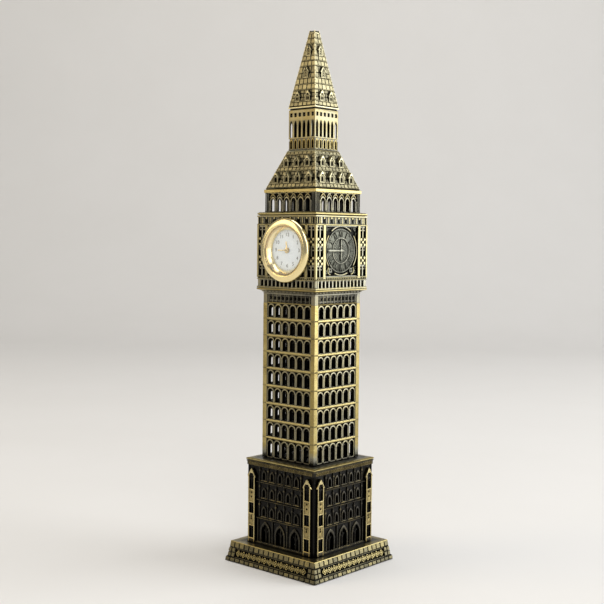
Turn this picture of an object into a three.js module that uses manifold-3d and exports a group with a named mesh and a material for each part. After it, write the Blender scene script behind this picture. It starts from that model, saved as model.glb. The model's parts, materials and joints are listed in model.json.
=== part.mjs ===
// Miniature clock tower, antique brass, with a press-in quartz clock in its front face.
// Millimetres, +Z up, origin at the middle of the underside, front (clock) face towards -Y.
import * as THREE from 'three';
import { mergeVertices } from 'three/addons/utils/BufferGeometryUtils.js';
import Module from 'manifold-3d';

const wasm = await Module();
wasm.setup();

// ---------------------------------------------------------------- driving dimensions
const HEIGHT = 225;                 // underside of the felt to the tip of the spire
const FIT = 0.1;                    // gap between two castings that butt together
const SIDES = ['front', 'right', 'back', 'left'];

const BASE = { foot: 26, top: 23.9, z: 8.6, rim: 0.3, brick: 2.1, band: 6.1, inset: 0.7 };
const FELT = { half: 23.2, thick: 1.2 };
const SCREW = { at: 13, headR: 2.8, headH: 1.6, shankR: 1.5, length: 8.6, slot: 0.7 };

const PODIUM = { half: 18.95, wall: 2, z1: 43.7, floor: 2.5 };
const PILASTER = { x: 15.75, half: 1.9, proud: 1.0, eaves: 37, apex: 40.3 };
const CAP = { half: 19.4, z1: 44.7, spigot: 1.6 };

const SHAFT = { half: 14.3, wall: 1.5, z1: 115.3 };
const STRIP = { x: 13.3, half: 1.3, proud: 0.3 };
const STRINGS = { z: [53.6, 61, 68.3, 75.8, 83.3, 90.3, 97.2, 104.3], half: 0.55, proud: 0.3 };
const WINDOW = { x: [-10.3, -6.2, -2.05, 2.05, 6.2, 10.3], half: 1.3, head: 1.5, lowest: 45.6,
  highest: 110.3 };

const DECK = { half: 16.6, z1: 117.3, hole: 4, spigot: 1.5 };
const CLOCK = { half: 15.5, face: 16.55, wall: 1.6, z0: 117.4, z1: 147.5, axis: 133.2 };
const DIAL_RELIEF = { r: 9.8, ring: 0.6, raise: 0.6 };
const CORNICE = { half: 16.5, z1: 149, hole: 4, spigot: 0.8 };
const BELFRY = { half: 14.3, wall: 1.5, z1: 158.7 };
const BELL_OPENING = { x: [-9.75, -5.85, -1.95, 1.95, 5.85, 9.75], half: 1.15, z: [149.7, 153, 154.8] };

const ROOF = { eaves: 14.15, top: 7.6, z1: 174.9, skin: 3, dormerProud: 0.3 };
const LANTERN = { half: 7.4, wall: 1.2, z1: 192.2 };
const LANTERN_OPENING = { x: [-6, -3.6, -1.2, 1.2, 3.6, 6], half: 0.65, z: [180.3, 185.6, 187.2] };
const SPIRE = { half: 7.5, tip: 1.3, dormerProud: 0.3 };

// The press-in clock. Its axis is the Y axis of its own group; these are positions along Y.
const SEAT = -CLOCK.face;           // the wall face that the bezel rests on
const INSERT = { bezelR: 13.4, crownR: 11.2, rimR: 10.6, lensR: 10.2, ringR: 10.6, openR: 8.4, holeR: 12,
  caseR: 11.6, caseWall: 0.7 };
const AT = {
  rim: -18.6, lens: [-18.5, -18.1], minuteHand: [-16.5, -16.3], hourHand: [-16.03, -15.83],
  dial: [-15.6, -15.3], hourWheel: [-15, -14.7], motion: [-14.55, -14.2], plate: [-13.95, -13.15],
  centreWheel: [-13, -12.7], thirdWheel: [-12.4, -12.1], drive: [-11.8, -11.55],
  bridge: [-10.95, -10.45], strap: [-10.25, -10.05], back: [-9.25, -8.65], stem: -11.65,
  stator: [-12.75, -12.35], core: [-12.25, -11.85], cell: [-13.05, -10.45], board: [-12.95, -12.45],
};
const MODULE = { motion: 0.15, centre: 0.15, third: 0.12, drive: 0.09 };
const TEETH = { cannon: 10, minute: 30, minutePinion: 8, hour: 32, centre: 30, thirdPinion: 10,
  third: 32, drivePinion: 8, drive: 40, rotorPinion: 8 };
const THIRD = gearCentre(0, 0, MODULE.centre, TEETH.centre + TEETH.thirdPinion, 100);
const DRIVE = gearCentre(THIRD.x, THIRD.z, MODULE.third, TEETH.third + TEETH.drivePinion, 5);
const ROTOR = gearCentre(DRIVE.x, DRIVE.z, MODULE.drive, TEETH.drive + TEETH.rotorPinion, 25);
const MINUTE_WHEEL = gearCentre(0, 0, MODULE.motion, TEETH.cannon + TEETH.minute, -90);
const CELL = { x: -5.2, z: -4.1, r: 3.4 };
const CROWN = { x: [9.9, 11], r: 1, stemR: 0.35, stemX: 4.2, groove: [6, 6.6] };
const PIPE = { cannon: 0.45, hourBore: 0.52, hour: 0.85 };
const PILLARS = [[-3, 1], [6.4, -2.6], [1.4, -3.6]];
const ARBOR = 0.2;
const BEARING = 0.27;
const MINUTE_HAND = { length: 4.9, tail: 1.2, half: 0.3, hub: 0.95, bore: 0.5 };
const HOUR_HAND = { length: 3.8, tail: 0, half: 0.38, hub: 1.3, bore: 0.92 };

function gearCentre(x, z, module, teeth, degrees) {
  const reach = module * teeth / 2;
  const angle = THREE.MathUtils.degToRad(degrees);
  return { x: x + reach * Math.cos(angle), z: z + reach * Math.sin(angle), angle };
}

// ---------------------------------------------------------------- materials
const finish = (color, roughness, metalness) =>
  new THREE.MeshStandardMaterial({ color, roughness, metalness, flatShading: true });
const antiqueBrass = finish(0x9a7a3c, 0.42, 1);
const darkBrass = finish(0x2e2a20, 0.4, 1);
const bronze = finish(0x6e6440, 0.45, 1);
const polishedGold = finish(0xd9a83f, 0.15, 1);
const steel = finish(0xb9bcc0, 0.3, 1);
const copper = finish(0xa65a2c, 0.4, 1);
const blackPlastic = finish(0x1a1a1c, 0.5, 0);
const whitePaint = finish(0xf2f2ee, 0.6, 0);
const clearLens = new THREE.MeshStandardMaterial({ color: 0xffffff, roughness: 0.02, metalness: 0,
  transparent: true, opacity: 0.25 });
const silicone = finish(0xd8d8d4, 0.7, 0);
const felt = finish(0x24402c, 0.95, 0);
const board = finish(0x1f5a34, 0.5, 0);

// ---------------------------------------------------------------- solids
// One closed, outward-facing triangle mesh: seams merged, slivers at the poles dropped.
function closed(geometry) {
  const bare = geometry.clone();
  for (const name of Object.keys(bare.attributes)) {
    if (name !== 'position') bare.deleteAttribute(name);
  }
  const merged = mergeVertices(bare, 1e-5);
  const position = merged.attributes.position;
  const corners = [];
  let volume = 0;
  const a = new THREE.Vector3();
  const b = new THREE.Vector3();
  const c = new THREE.Vector3();
  for (let i = 0; i < merged.index.count; i += 3) {
    const [p, q, r] = [0, 1, 2].map((k) => merged.index.getX(i + k));
    if (p === q || q === r || r === p) continue;
    corners.push([p, q, r]);
    a.fromBufferAttribute(position, p);
    b.fromBufferAttribute(position, q);
    c.fromBufferAttribute(position, r);
    volume += a.dot(b.cross(c));
  }
  if (volume < 0) corners.forEach((corner) => corner.reverse());
  merged.setIndex(corners.flat());
  return merged;
}

function solid(geometry) {
  const clean = closed(geometry);
  return new wasm.Manifold(new wasm.Mesh({
    numProp: 3,
    vertProperties: Float32Array.from(clean.attributes.position.array),
    triVerts: Uint32Array.from(clean.index.array),
  }));
}

function geometryOf(manifold) {
  const mesh = manifold.getMesh();
  const geometry = new THREE.BufferGeometry();
  geometry.setAttribute('position', new THREE.BufferAttribute(mesh.vertProperties, 3));
  geometry.setIndex(new THREE.BufferAttribute(mesh.triVerts, 1));
  geometry.computeVertexNormals();
  return geometry;
}

const join = (...shapes) => shapes.flat().reduce((sum, shape) => sum.add(shape));
const cut = (body, ...tools) => tools.flat().reduce((rest, tool) => rest.subtract(tool), body);

function box(x0, x1, y0, y1, z0, z1) {
  const geometry = new THREE.BoxGeometry(x1 - x0, y1 - y0, z1 - z0);
  return solid(geometry.translate((x0 + x1) / 2, (y0 + y1) / 2, (z0 + z1) / 2));
}

// Square frustum about the Z axis, half-width h0 at z0 and h1 at z1.
function frustum(h0, h1, z0, z1) {
  const geometry = new THREE.CylinderGeometry(h1 * Math.SQRT2, h0 * Math.SQRT2, z1 - z0, 4);
  return solid(geometry.rotateY(Math.PI / 4).rotateX(Math.PI / 2).translate(0, 0, (z0 + z1) / 2));
}

// Outline in the X-Z plane, pulled out along Y from y0 to y1.
function prism(outline, y0, y1) {
  const shape = new THREE.Shape(outline.map(([x, z]) => new THREE.Vector2(x, z)));
  const geometry = new THREE.ExtrudeGeometry(shape, { depth: y1 - y0, bevelEnabled: false });
  return solid(geometry.rotateX(Math.PI / 2).translate(0, y1, 0));
}

// Cylinder along Y (or Z, or X), centred on (x, z), from start to end.
function rod(r, start, end, x = 0, z = 0, sides = 20) {
  const geometry = new THREE.CylinderGeometry(r, r, end - start, sides);
  return solid(geometry.translate(x, (start + end) / 2, z));
}

function rodZ(r, z0, z1, x, y, sides = 16) {
  const geometry = new THREE.CylinderGeometry(r, r, z1 - z0, sides).rotateX(Math.PI / 2);
  return solid(geometry.translate(x, y, (z0 + z1) / 2));
}

function rodX(r, x0, x1, y, z, sides = 16) {
  const geometry = new THREE.CylinderGeometry(r, r, x1 - x0, sides).rotateZ(Math.PI / 2);
  return solid(geometry.translate((x0 + x1) / 2, y, z));
}

// Ring about the Y axis from a closed profile of [radius, y] points.
function turned(profile, sides = 40) {
  const points = [...profile, profile[0]].map(([r, y]) => new THREE.Vector2(r, y));
  return solid(new THREE.LatheGeometry(points, sides));
}

const washer = (inner, outer, y0, y1, sides) =>
  turned([[inner, y0], [outer, y0], [outer, y1], [inner, y1]], sides);

// Pointed opening or blind niche: straight jambs and a two-sided head.
const arch = (x, half, foot, spring, apex) =>
  [[x - half, foot], [x + half, foot], [x + half, spring], [x, apex], [x - half, spring]];

// Spur gear about the Y axis with straight-flanked teeth, the first one at phase.
function gear(teeth, module, y0, y1, phase) {
  const pitch = module * teeth / 2;
  const step = 2 * Math.PI / teeth;
  const outline = [];
  for (let i = 0; i < teeth; i += 1) {
    const middle = phase + i * step;
    const corners = [[pitch - 1.2 * module, -0.31], [pitch + 0.9 * module, -0.11],
      [pitch + 0.9 * module, 0.11], [pitch - 1.2 * module, 0.31]];
    for (const [r, share] of corners) {
      outline.push([r * Math.cos(middle + share * step), r * Math.sin(middle + share * step)]);
    }
  }
  return prism(outline, y0, y1);
}

// Phase of a gear that meshes with one whose first tooth lies on the line of centres.
const meshed = (teeth, angle) => angle + Math.PI + Math.PI / teeth;
const placed = (shape, at) => shape.translate([at.x, 0, at.z]);

// ---------------------------------------------------------------- scene graph
const model = new THREE.Group();
const clock = new THREE.Group();
clock.position.set(0, 0, CLOCK.axis);
model.add(clock);

function add(group, name, shape, material) {
  const mesh = new THREE.Mesh(geometryOf(shape), material);
  mesh.name = name;
  group.add(mesh);
  return mesh;
}

// The four walls of one stage, each the front wall turned about the tower's axis.
function addWalls(stage, shapeOf, material) {
  SIDES.forEach((side, turn) => {
    const mesh = add(model, `${stage}_wall_${side}`, shapeOf(side), material);
    mesh.rotation.z = turn * Math.PI / 2;
  });
}

// A front wall with its relief, mitred at both ends where it meets the side walls.
function mitred(wall, z0, z1) {
  const [outer, inner] = [24, 8];
  const shape = new THREE.Shape([[-outer, -outer], [outer, -outer], [inner, -inner], [-inner, -inner]]
    .map(([x, y]) => new THREE.Vector2(x, y - FIT / 2)));
  const geometry = new THREE.ExtrudeGeometry(shape, { depth: z1 - z0 + 2, bevelEnabled: false });
  return wall.intersect(solid(geometry.translate(0, 0, z0 - 1)));
}

const panel = (half, wall, z0, z1) => box(-half, half, -half, -half + wall, z0, z1);

// ---------------------------------------------------------------- base
function basePlinth() {
  const at = (z) => BASE.foot + (BASE.top - BASE.foot) * z / BASE.z;
  const courses = [
    frustum(at(0), at(BASE.brick), BASE.rim, BASE.brick),
    frustum(at(BASE.brick) - BASE.inset, at(BASE.band) - BASE.inset, BASE.brick - 0.2, BASE.band + 0.2),
    frustum(at(BASE.band), at(BASE.z), BASE.band, BASE.z),
  ];
  const recess = FELT.half + 0.3;
  const tools = [box(-recess, recess, -recess, recess, -1, FELT.thick + 0.3)];
  for (const [x, y] of screwPlaces()) {
    tools.push(rodZ(SCREW.headR + 0.3, 0, FELT.thick + SCREW.headH + 0.6, x, y));
    tools.push(rodZ(SCREW.shankR + 0.2, 0, BASE.z + 1, x, y));
  }
  return cut(join(courses), tools);
}

function screwPlaces() {
  return [[-1, -1], [1, -1], [1, 1], [-1, 1]].map(([i, j]) => [i * SCREW.at, j * SCREW.at]);
}

function screw(x, y) {
  const seat = FELT.thick + 0.3;
  const head = rodZ(SCREW.headR, seat, seat + SCREW.headH, x, y);
  const shank = rodZ(SCREW.shankR, seat + SCREW.headH - 0.2, seat + SCREW.length, x, y);
  const slot = box(x - 2, x + 2, y - SCREW.slot / 2, y + SCREW.slot / 2, seat - 1, seat + 0.7);
  return cut(join(head, shank), slot);
}

add(model, 'base_plinth', basePlinth(), antiqueBrass);
add(model, 'felt_pad', box(-FELT.half, FELT.half, -FELT.half, FELT.half, 0, FELT.thick), felt);
screwPlaces().forEach(([x, y], i) => add(model, `base_screw_${i + 1}`, screw(x, y), steel));

// ---------------------------------------------------------------- podium
const podiumFoot = BASE.z + FIT;

function podiumFloor() {
  const half = PODIUM.half - PODIUM.wall - FIT;
  const plate = box(-half, half, -half, half, podiumFoot, podiumFoot + PODIUM.floor);
  return cut(plate, screwPlaces().map(([x, y]) =>
    rodZ(SCREW.shankR + 0.2, podiumFoot - 1, podiumFoot + PODIUM.floor + 1, x, y)));
}

function podiumWall() {
  const pilasters = [-1, 1].map((side) => {
    const outline = arch(side * PILASTER.x, PILASTER.half, podiumFoot, PILASTER.eaves, PILASTER.apex);
    return prism(outline, -PODIUM.half - PILASTER.proud, -PODIUM.half + 0.5);
  });
  const wall = mitred(panel(PODIUM.half, PODIUM.wall, podiumFoot, PODIUM.z1), podiumFoot, PODIUM.z1);
  return join(wall, pilasters);
}

function podiumCap() {
  const under = SHAFT.half - SHAFT.wall - 0.3;
  const slab = box(-CAP.half, CAP.half, -CAP.half, CAP.half, PODIUM.z1 + FIT, CAP.z1);
  const spigot = box(-under, under, -under, under, CAP.z1 - 0.2, CAP.z1 + CAP.spigot);
  const bore = rodZ(DECK.hole, PODIUM.z1 - 1, CAP.z1 + CAP.spigot + 1, 0, 0, 24);
  return cut(join(slab, spigot), bore);
}

add(model, 'podium_floor', podiumFloor(), darkBrass);
addWalls('podium', podiumWall, darkBrass);
add(model, 'podium_cap', podiumCap(), antiqueBrass);

// ---------------------------------------------------------------- shaft
function shaftWall() {
  const z0 = CAP.z1 + FIT;
  const face = -SHAFT.half;
  const strips = [-1, 1].map((side) => {
    const x = side * STRIP.x;
    return box(x - STRIP.half, x + STRIP.half, face - STRIP.proud, face + 0.5, z0, SHAFT.z1);
  });
  const strings = STRINGS.z.map((z) =>
    box(-STRIP.x, STRIP.x, face - STRINGS.proud, face + 0.5, z - STRINGS.half, z + STRINGS.half));
  const feet = [WINDOW.lowest, ...STRINGS.z.map((z) => z + 1)];
  const tops = [...STRINGS.z.map((z) => z - 1), WINDOW.highest];
  const windows = feet.flatMap((foot, i) => WINDOW.x.map((x) =>
    prism(arch(x, WINDOW.half, foot, tops[i] - WINDOW.head, tops[i]), face - 1, face + SHAFT.wall + 1)));
  const wall = join(panel(SHAFT.half, SHAFT.wall, z0, SHAFT.z1), strips, strings);
  return cut(mitred(wall, z0, SHAFT.z1), wasm.Manifold.compose(windows));
}

addWalls('shaft', shaftWall, antiqueBrass);

// ---------------------------------------------------------------- clock stage
// Flat deck with a spigot above that locates the walls, and a hole through the middle.
function deck(profile, spigotHalf, hole, top, spigot) {
  const body = join(profile);
  const peg = box(-spigotHalf, spigotHalf, -spigotHalf, spigotHalf, top - 0.2, top + spigot);
  return cut(join(body, peg), rodZ(hole, top - 10, top + 10, 0, 0, 24));
}

function clockStageDeck() {
  const z0 = SHAFT.z1 + FIT;
  const cove = [frustum(SHAFT.half + 0.3, DECK.half, z0, z0 + 1.2),
    box(-DECK.half, DECK.half, -DECK.half, DECK.half, z0 + 1.1, DECK.z1)];
  return deck(cove, CLOCK.half - CLOCK.wall - 0.3, DECK.hole, DECK.z1, DECK.spigot);
}

function clockWall(side) {
  const out = -CLOCK.face;
  const inn = -CLOCK.half + 0.5;
  const bar = (x0, x1, z0, z1) => box(x0, x1, out, inn, z0, z1);
  const edge = CLOCK.face;
  const frame = [bar(-edge, edge, CLOCK.z0, 118), bar(-edge, edge, 121, 122.4),
    bar(-edge, edge, 143.5, 144.2), bar(-edge, edge, 146.9, CLOCK.z1),
    bar(-edge, -15.2, 117.6, 147), bar(15.2, edge, 117.6, 147),
    bar(-12.1, -10.2, 122, 144), bar(10.2, 12.1, 122, 144)];
  const flat = panel(CLOCK.half, CLOCK.wall, CLOCK.z0, CLOCK.z1);
  const wall = mitred(join(flat, frame), CLOCK.z0, CLOCK.z1);
  if (side === 'front') {
    const seat = rod(INSERT.bezelR, out, inn, 0, CLOCK.axis, 40);
    const seatTrim = box(-13.5, 13.5, out - 1, inn + 1, 122, 144);
    const hole = rod(INSERT.holeR, out - 1, inn + 3, 0, CLOCK.axis, 40);
    return cut(join(wall, seat.intersect(seatTrim)), hole);
  }
  const raised = -CLOCK.half - DIAL_RELIEF.raise;
  const ring = washer(DIAL_RELIEF.r - DIAL_RELIEF.ring, DIAL_RELIEF.r, raised, -CLOCK.half + 0.1, 24);
  const hands = join(box(-8.2, 1.5, raised, inn, -0.35, 0.35), box(-0.35, 0.35, raised, inn, -4.2, 6.5));
  const dial = join(ring, hands).translate([0, 0, CLOCK.axis]);
  return join(wall, dial);
}

add(model, 'clock_stage_deck', clockStageDeck(), antiqueBrass);
addWalls('clock_stage', clockWall, antiqueBrass);

// ---------------------------------------------------------------- belfry
function belfryDeck() {
  const slab = box(-CORNICE.half, CORNICE.half, -CORNICE.half, CORNICE.half, CLOCK.z1 + FIT, CORNICE.z1);
  return deck([slab], BELFRY.half - BELFRY.wall - 0.3, CORNICE.hole, CORNICE.z1, CORNICE.spigot);
}

function belfryWall() {
  const face = -BELFRY.half;
  const [foot, spring, apex] = BELL_OPENING.z;
  const openings = BELL_OPENING.x.map((x) =>
    prism(arch(x, BELL_OPENING.half, foot, spring, apex), face - 1, face + BELFRY.wall + 1));
  const band = box(face - 0.2, -face + 0.2, face - 0.2, face + 0.5, 157.3, BELFRY.z1);
  const wall = join(panel(BELFRY.half, BELFRY.wall, CORNICE.z1 + FIT, BELFRY.z1), band);
  return cut(mitred(wall, CORNICE.z1, BELFRY.z1), wasm.Manifold.compose(openings));
}

add(model, 'belfry_deck', belfryDeck(), antiqueBrass);
addWalls('belfry', belfryWall, antiqueBrass);

// ---------------------------------------------------------------- roof, lantern and spire
// Gabled dormers on all four slopes: rows of [centres across, foot, half-width, height].
function dormers(rows, halfAt, proud) {
  const shapes = [];
  for (const [centres, foot, half, height] of rows) {
    for (const x of centres) {
      const outline = arch(x, half, foot, foot + height * 0.55, foot + height);
      const front = prism(outline, -halfAt(foot) - proud, -halfAt(foot + height) + 0.8);
      for (const turn of [0, 90, 180, 270]) shapes.push(front.rotate([0, 0, turn]));
    }
  }
  return shapes;
}

function lowerRoof() {
  const z0 = BELFRY.z1 + FIT;
  const halfAt = (z) => ROOF.eaves + (ROOF.top - ROOF.eaves) * (z - z0) / (ROOF.z1 - z0);
  const rows = [[[-9.25, -3.1, 3.1, 9.25], 161.2, 1.4, 4.4], [[-5.9, 0, 5.9], 168, 1.3, 4.2]];
  const hollowTop = ROOF.z1 - 2;
  const hollow = frustum(halfAt(z0) - ROOF.skin, halfAt(hollowTop) - ROOF.skin, z0 - 0.01, hollowTop);
  const body = join(frustum(ROOF.eaves, ROOF.top, z0, ROOF.z1), dormers(rows, halfAt, ROOF.dormerProud));
  return cut(body, hollow);
}

function lantern() {
  const z0 = ROOF.z1 + FIT;
  const tube = cut(frustum(LANTERN.half, LANTERN.half, z0, LANTERN.z1),
    frustum(LANTERN.half - LANTERN.wall, LANTERN.half - LANTERN.wall, z0 - 1, LANTERN.z1 + 1));
  const [foot, spring, apex] = LANTERN_OPENING.z;
  const openings = LANTERN_OPENING.x.flatMap((x) => {
    const outline = arch(x, LANTERN_OPENING.half, foot, spring, apex);
    const tool = prism(outline, -LANTERN.half - 1, -LANTERN.half + 1.4);
    return [0, 90, 180, 270].map((turn) => tool.rotate([0, 0, turn]));
  });
  return cut(tube, openings);
}

function spire() {
  const z0 = LANTERN.z1 + FIT;
  const halfAt = (z) => SPIRE.half + (SPIRE.tip - SPIRE.half) * (z - z0) / (HEIGHT - z0);
  const rows = [[[-2.9, 2.9], 195.2, 1.1, 4.2], [[0], 205.2, 1.3, 4.4], [[0], 214.4, 1, 4.2]];
  return join(frustum(SPIRE.half, SPIRE.tip, z0, HEIGHT), dormers(rows, halfAt, SPIRE.dormerProud));
}

add(model, 'lower_roof', lowerRoof(), bronze);
add(model, 'lantern', lantern(), antiqueBrass);
add(model, 'spire', spire(), bronze);

// ---------------------------------------------------------------- press-in clock: case
// Convex outside, a seat for the lens in the rim, and a funnel behind the lens down to the dial.
function bezel() {
  const back = SEAT - FIT;
  const seat = AT.lens[1] + 0.05;
  const foot = AT.dial[0] - FIT;
  const flange = [[INSERT.ringR, foot], [INSERT.ringR, back], [INSERT.bezelR, back],
    [INSERT.bezelR, back - 0.45]];
  const crown = [[12.5, back - 1.35], [INSERT.crownR, AT.rim], [INSERT.rimR, AT.rim]];
  const lensSeat = [[INSERT.lensR + 0.1, AT.rim + 0.15], [INSERT.lensR + 0.1, seat], [9.9, seat]];
  const funnel = [[INSERT.openR, foot - 0.4], [INSERT.openR, foot]];
  return turned([...flange, ...crown, ...lensSeat, ...funnel], 40);
}

function movementCase() {
  const inner = INSERT.caseR - INSERT.caseWall;
  const shell = washer(inner, INSERT.caseR, SEAT + 0.1, AT.back[1], 40);
  const crownSlot = box(8, 13, AT.stem - 1.5, AT.stem + 1.5, -1.5, 1.5);
  return cut(shell, crownSlot);
}

function gripRing() {
  const r = INSERT.caseR + 0.05;
  const y0 = SEAT + 0.2;
  return turned([[r, y0], [r + 0.3, y0], [r + 0.3, y0 + 0.9], [r, y0 + 1.2]], 32);
}

function caseBack() {
  const inner = INSERT.caseR - INSERT.caseWall - 0.1;
  const disc = rod(inner, AT.back[0], AT.back[1], 0, 0, 40);
  const notch = box(-1.2, 1.2, AT.back[0] - 1, AT.back[1] + 1, inner - 0.6, inner + 1);
  return cut(disc, notch);
}

add(clock, 'bezel', bezel(), polishedGold);
add(clock, 'lens', rod(INSERT.lensR, AT.lens[0], AT.lens[1], 0, 0, 36), clearLens);
add(clock, 'dial', cut(rod(9.7, AT.dial[0], AT.dial[1], 0, 0, 36),
  rod(1.1, AT.dial[0] - 1, AT.dial[1] + 1)), whitePaint);
add(clock, 'movement_case', movementCase(), blackPlastic);
add(clock, 'grip_ring', gripRing(), silicone);
add(clock, 'case_back', caseBack(), steel);

// ---------------------------------------------------------------- press-in clock: movement
const bearings = (y0, y1) =>
  [THIRD, DRIVE, ROTOR].map((at) => rod(BEARING, y0 - 1, y1 + 1, at.x, at.z, 12));

function mainPlate() {
  const disc = rod(10.7, AT.plate[0], AT.plate[1], 0, 0, 32);
  const post = rod(ARBOR, AT.hourWheel[0], AT.plate[0] + 0.2, MINUTE_WHEEL.x, MINUTE_WHEEL.z, 12);
  const pillars = PILLARS.map(([x, z]) => rod(0.5, AT.plate[1] - 0.2, AT.bridge[0] - 0.1, x, z, 12));
  const centreHole = rod(0.4, AT.plate[0] - 1, AT.plate[1] + 1, 0, 0, 16);
  return cut(join(disc, post, pillars), centreHole, bearings(...AT.plate));
}

function trainBridge() {
  const outline = [[-3.6, 0.6], [0.6, -4.3], [2.2, -4.3], [5.9, -3.3], [7.2, -2.6], [7, 0.6],
    [4.7, 4.9], [3.2, 5], [-1, 4.2], [-3.6, 1.6]];
  const centreHole = rod(BEARING + 0.05, AT.bridge[0] - 1, AT.bridge[1] + 1, 0, 0, 16);
  return cut(prism(outline, ...AT.bridge), centreHole, bearings(...AT.bridge));
}

function stator() {
  const [y0, y1] = AT.stator;
  const leftLeg = box(-5.6, -4.4, y0, y1, 5.2, 8.1);
  const strip = box(-5, 3, y0, y1, 5.2, 6.2);
  const pole = box(2.7, 6.2, y0, y1, 2.8, 8.1);
  return cut(join(leftLeg, strip, pole), rod(0.8, y0 - 1, y1 + 1, ROTOR.x, ROTOR.z));
}

function coil() {
  const [y0, y1] = AT.core;
  return join(box(-5.6, 6.2, y0, y1, 7.1, 8.1), rodX(0.85, -4, 2.4, (y0 + y1) / 2, 7.6));
}

function batteryCell() {
  const [y0, y1] = AT.cell;
  return join(rod(CELL.r, y0, y1 - 0.7, CELL.x, CELL.z, 24), rod(CELL.r - 0.4, y0, y1, CELL.x, CELL.z, 24));
}

function batteryStrap() {
  const [y0, y1] = AT.strap;
  return join(box(-6.2, -4.2, y0, y1, -6.6, 3.2), box(-5.8, -4.6, AT.board[1] + 0.1, y1, 2.7, 3.2));
}

function circuitBoard() {
  const outline = [[-9.6, 0.1], [-4, 0.1], [-4, 4.7], [-8.2, 4.7], [-9.3, 2.6]];
  const chip = box(-8, -6.4, AT.board[1] - 0.2, AT.board[1] + 0.5, 1, 2.6);
  return join(prism(outline, ...AT.board), chip);
}

add(clock, 'main_plate', mainPlate(), blackPlastic);
add(clock, 'train_bridge', trainBridge(), steel);
add(clock, 'stator', stator(), steel);
add(clock, 'coil', coil(), copper);
add(clock, 'battery_cell', batteryCell(), steel);
add(clock, 'battery_strap', batteryStrap(), steel);
add(clock, 'circuit_board', circuitBoard(), board);

// ---------------------------------------------------------------- press-in clock: wheels and hands
const arbor = (at, y0, y1) => rod(ARBOR, y0, y1, at.x, at.z, 12);
const shaftEnds = [AT.plate[0] + 0.1, AT.bridge[1] - 0.1];

function centreWheel() {
  const wheel = gear(TEETH.centre, MODULE.centre, ...AT.centreWheel, THIRD.angle);
  const cannon = gear(TEETH.cannon, MODULE.motion, ...AT.motion, MINUTE_WHEEL.angle);
  const pipe = rod(PIPE.cannon, AT.minuteHand[0] - 0.05, AT.motion[1]);
  return join(wheel, cannon, pipe, rod(0.25, AT.motion[0], shaftEnds[1], 0, 0, 16));
}

function hourWheel() {
  const turn = meshed(TEETH.hour, MINUTE_WHEEL.angle + Math.PI);
  const wheel = gear(TEETH.hour, MODULE.motion, ...AT.hourWheel, turn);
  const pipe = rod(PIPE.hour, AT.hourHand[0] - 0.04, AT.hourWheel[1]);
  return cut(join(wheel, pipe), rod(PIPE.hourBore, AT.hourHand[0] - 1, AT.hourWheel[1] + 1));
}

function minuteWheel() {
  const wheel = placed(gear(TEETH.minute, MODULE.motion, ...AT.motion,
    meshed(TEETH.minute, MINUTE_WHEEL.angle)), MINUTE_WHEEL);
  const pinion = placed(gear(TEETH.minutePinion, MODULE.motion, AT.hourWheel[0], AT.motion[0] + 0.1,
    MINUTE_WHEEL.angle + Math.PI), MINUTE_WHEEL);
  return cut(join(wheel, pinion),
    rod(BEARING, AT.hourWheel[0] - 1, AT.motion[1] + 1, MINUTE_WHEEL.x, MINUTE_WHEEL.z, 12));
}

function trainWheel(at, wheel, pinion) {
  const discs = [wheel, pinion].map((part) =>
    placed(gear(part.teeth, part.module, part.y[0], part.y[1], part.phase), at));
  return join(discs, arbor(at, ...shaftEnds));
}

function rotor() {
  const pinion = placed(gear(TEETH.rotorPinion, MODULE.drive, ...AT.drive,
    meshed(TEETH.rotorPinion, ROTOR.angle)), ROTOR);
  return join(rod(0.6, AT.stator[0] - 0.2, AT.stator[1] + 0.2, ROTOR.x, ROTOR.z, 16), pinion,
    arbor(ROTOR, ...shaftEnds));
}

// Baton hand pointing along +X, turned to its angle above +X as seen from the front.
function hand(y, degrees, shape) {
  const { length, tail, half, hub, bore } = shape;
  const blade = prism([[-tail, -half], [length * 0.8, -half * 0.8], [length, 0],
    [length * 0.8, half * 0.8], [-tail, half]], ...y);
  const disc = rod(hub, ...y, 0, 0, 24);
  return cut(join(blade, disc), rod(bore, y[0] - 1, y[1] + 1)).rotate([0, -degrees, 0]);
}

add(clock, 'centre_wheel', centreWheel(), polishedGold);
add(clock, 'minute_wheel', minuteWheel(), whitePaint);
add(clock, 'hour_wheel', hourWheel(), polishedGold);
add(clock, 'third_wheel', trainWheel(THIRD,
  { teeth: TEETH.third, module: MODULE.third, y: AT.thirdWheel, phase: DRIVE.angle },
  { teeth: TEETH.thirdPinion, module: MODULE.centre, y: AT.centreWheel,
    phase: meshed(TEETH.thirdPinion, THIRD.angle) }), whitePaint);
add(clock, 'drive_wheel', trainWheel(DRIVE,
  { teeth: TEETH.drive, module: MODULE.drive, y: AT.drive, phase: ROTOR.angle },
  { teeth: TEETH.drivePinion, module: MODULE.third, y: AT.thirdWheel,
    phase: meshed(TEETH.drivePinion, DRIVE.angle) }), whitePaint);
add(clock, 'rotor', rotor(), steel);
add(clock, 'minute_hand', hand(AT.minuteHand, 180, MINUTE_HAND), polishedGold);
add(clock, 'hour_hand', hand(AT.hourHand, 97.5, HOUR_HAND), polishedGold);

// ---------------------------------------------------------------- press-in clock: hand setting
function settingStem() {
  const stem = rodX(CROWN.stemR, CROWN.stemX, CROWN.x[0] + 0.1, AT.stem, 0);
  const groove = cut(rodX(1, ...CROWN.groove, AT.stem, 0), rodX(0.2, 5, 8, AT.stem, 0));
  return cut(stem, groove);
}

function settingCrown() {
  const knob = rodX(CROWN.r, ...CROWN.x, AT.stem, 0, 18);
  return cut(knob, rodX(CROWN.stemR + 0.05, CROWN.x[0] - 1, CROWN.x[0] + 0.5, AT.stem, 0));
}

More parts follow.
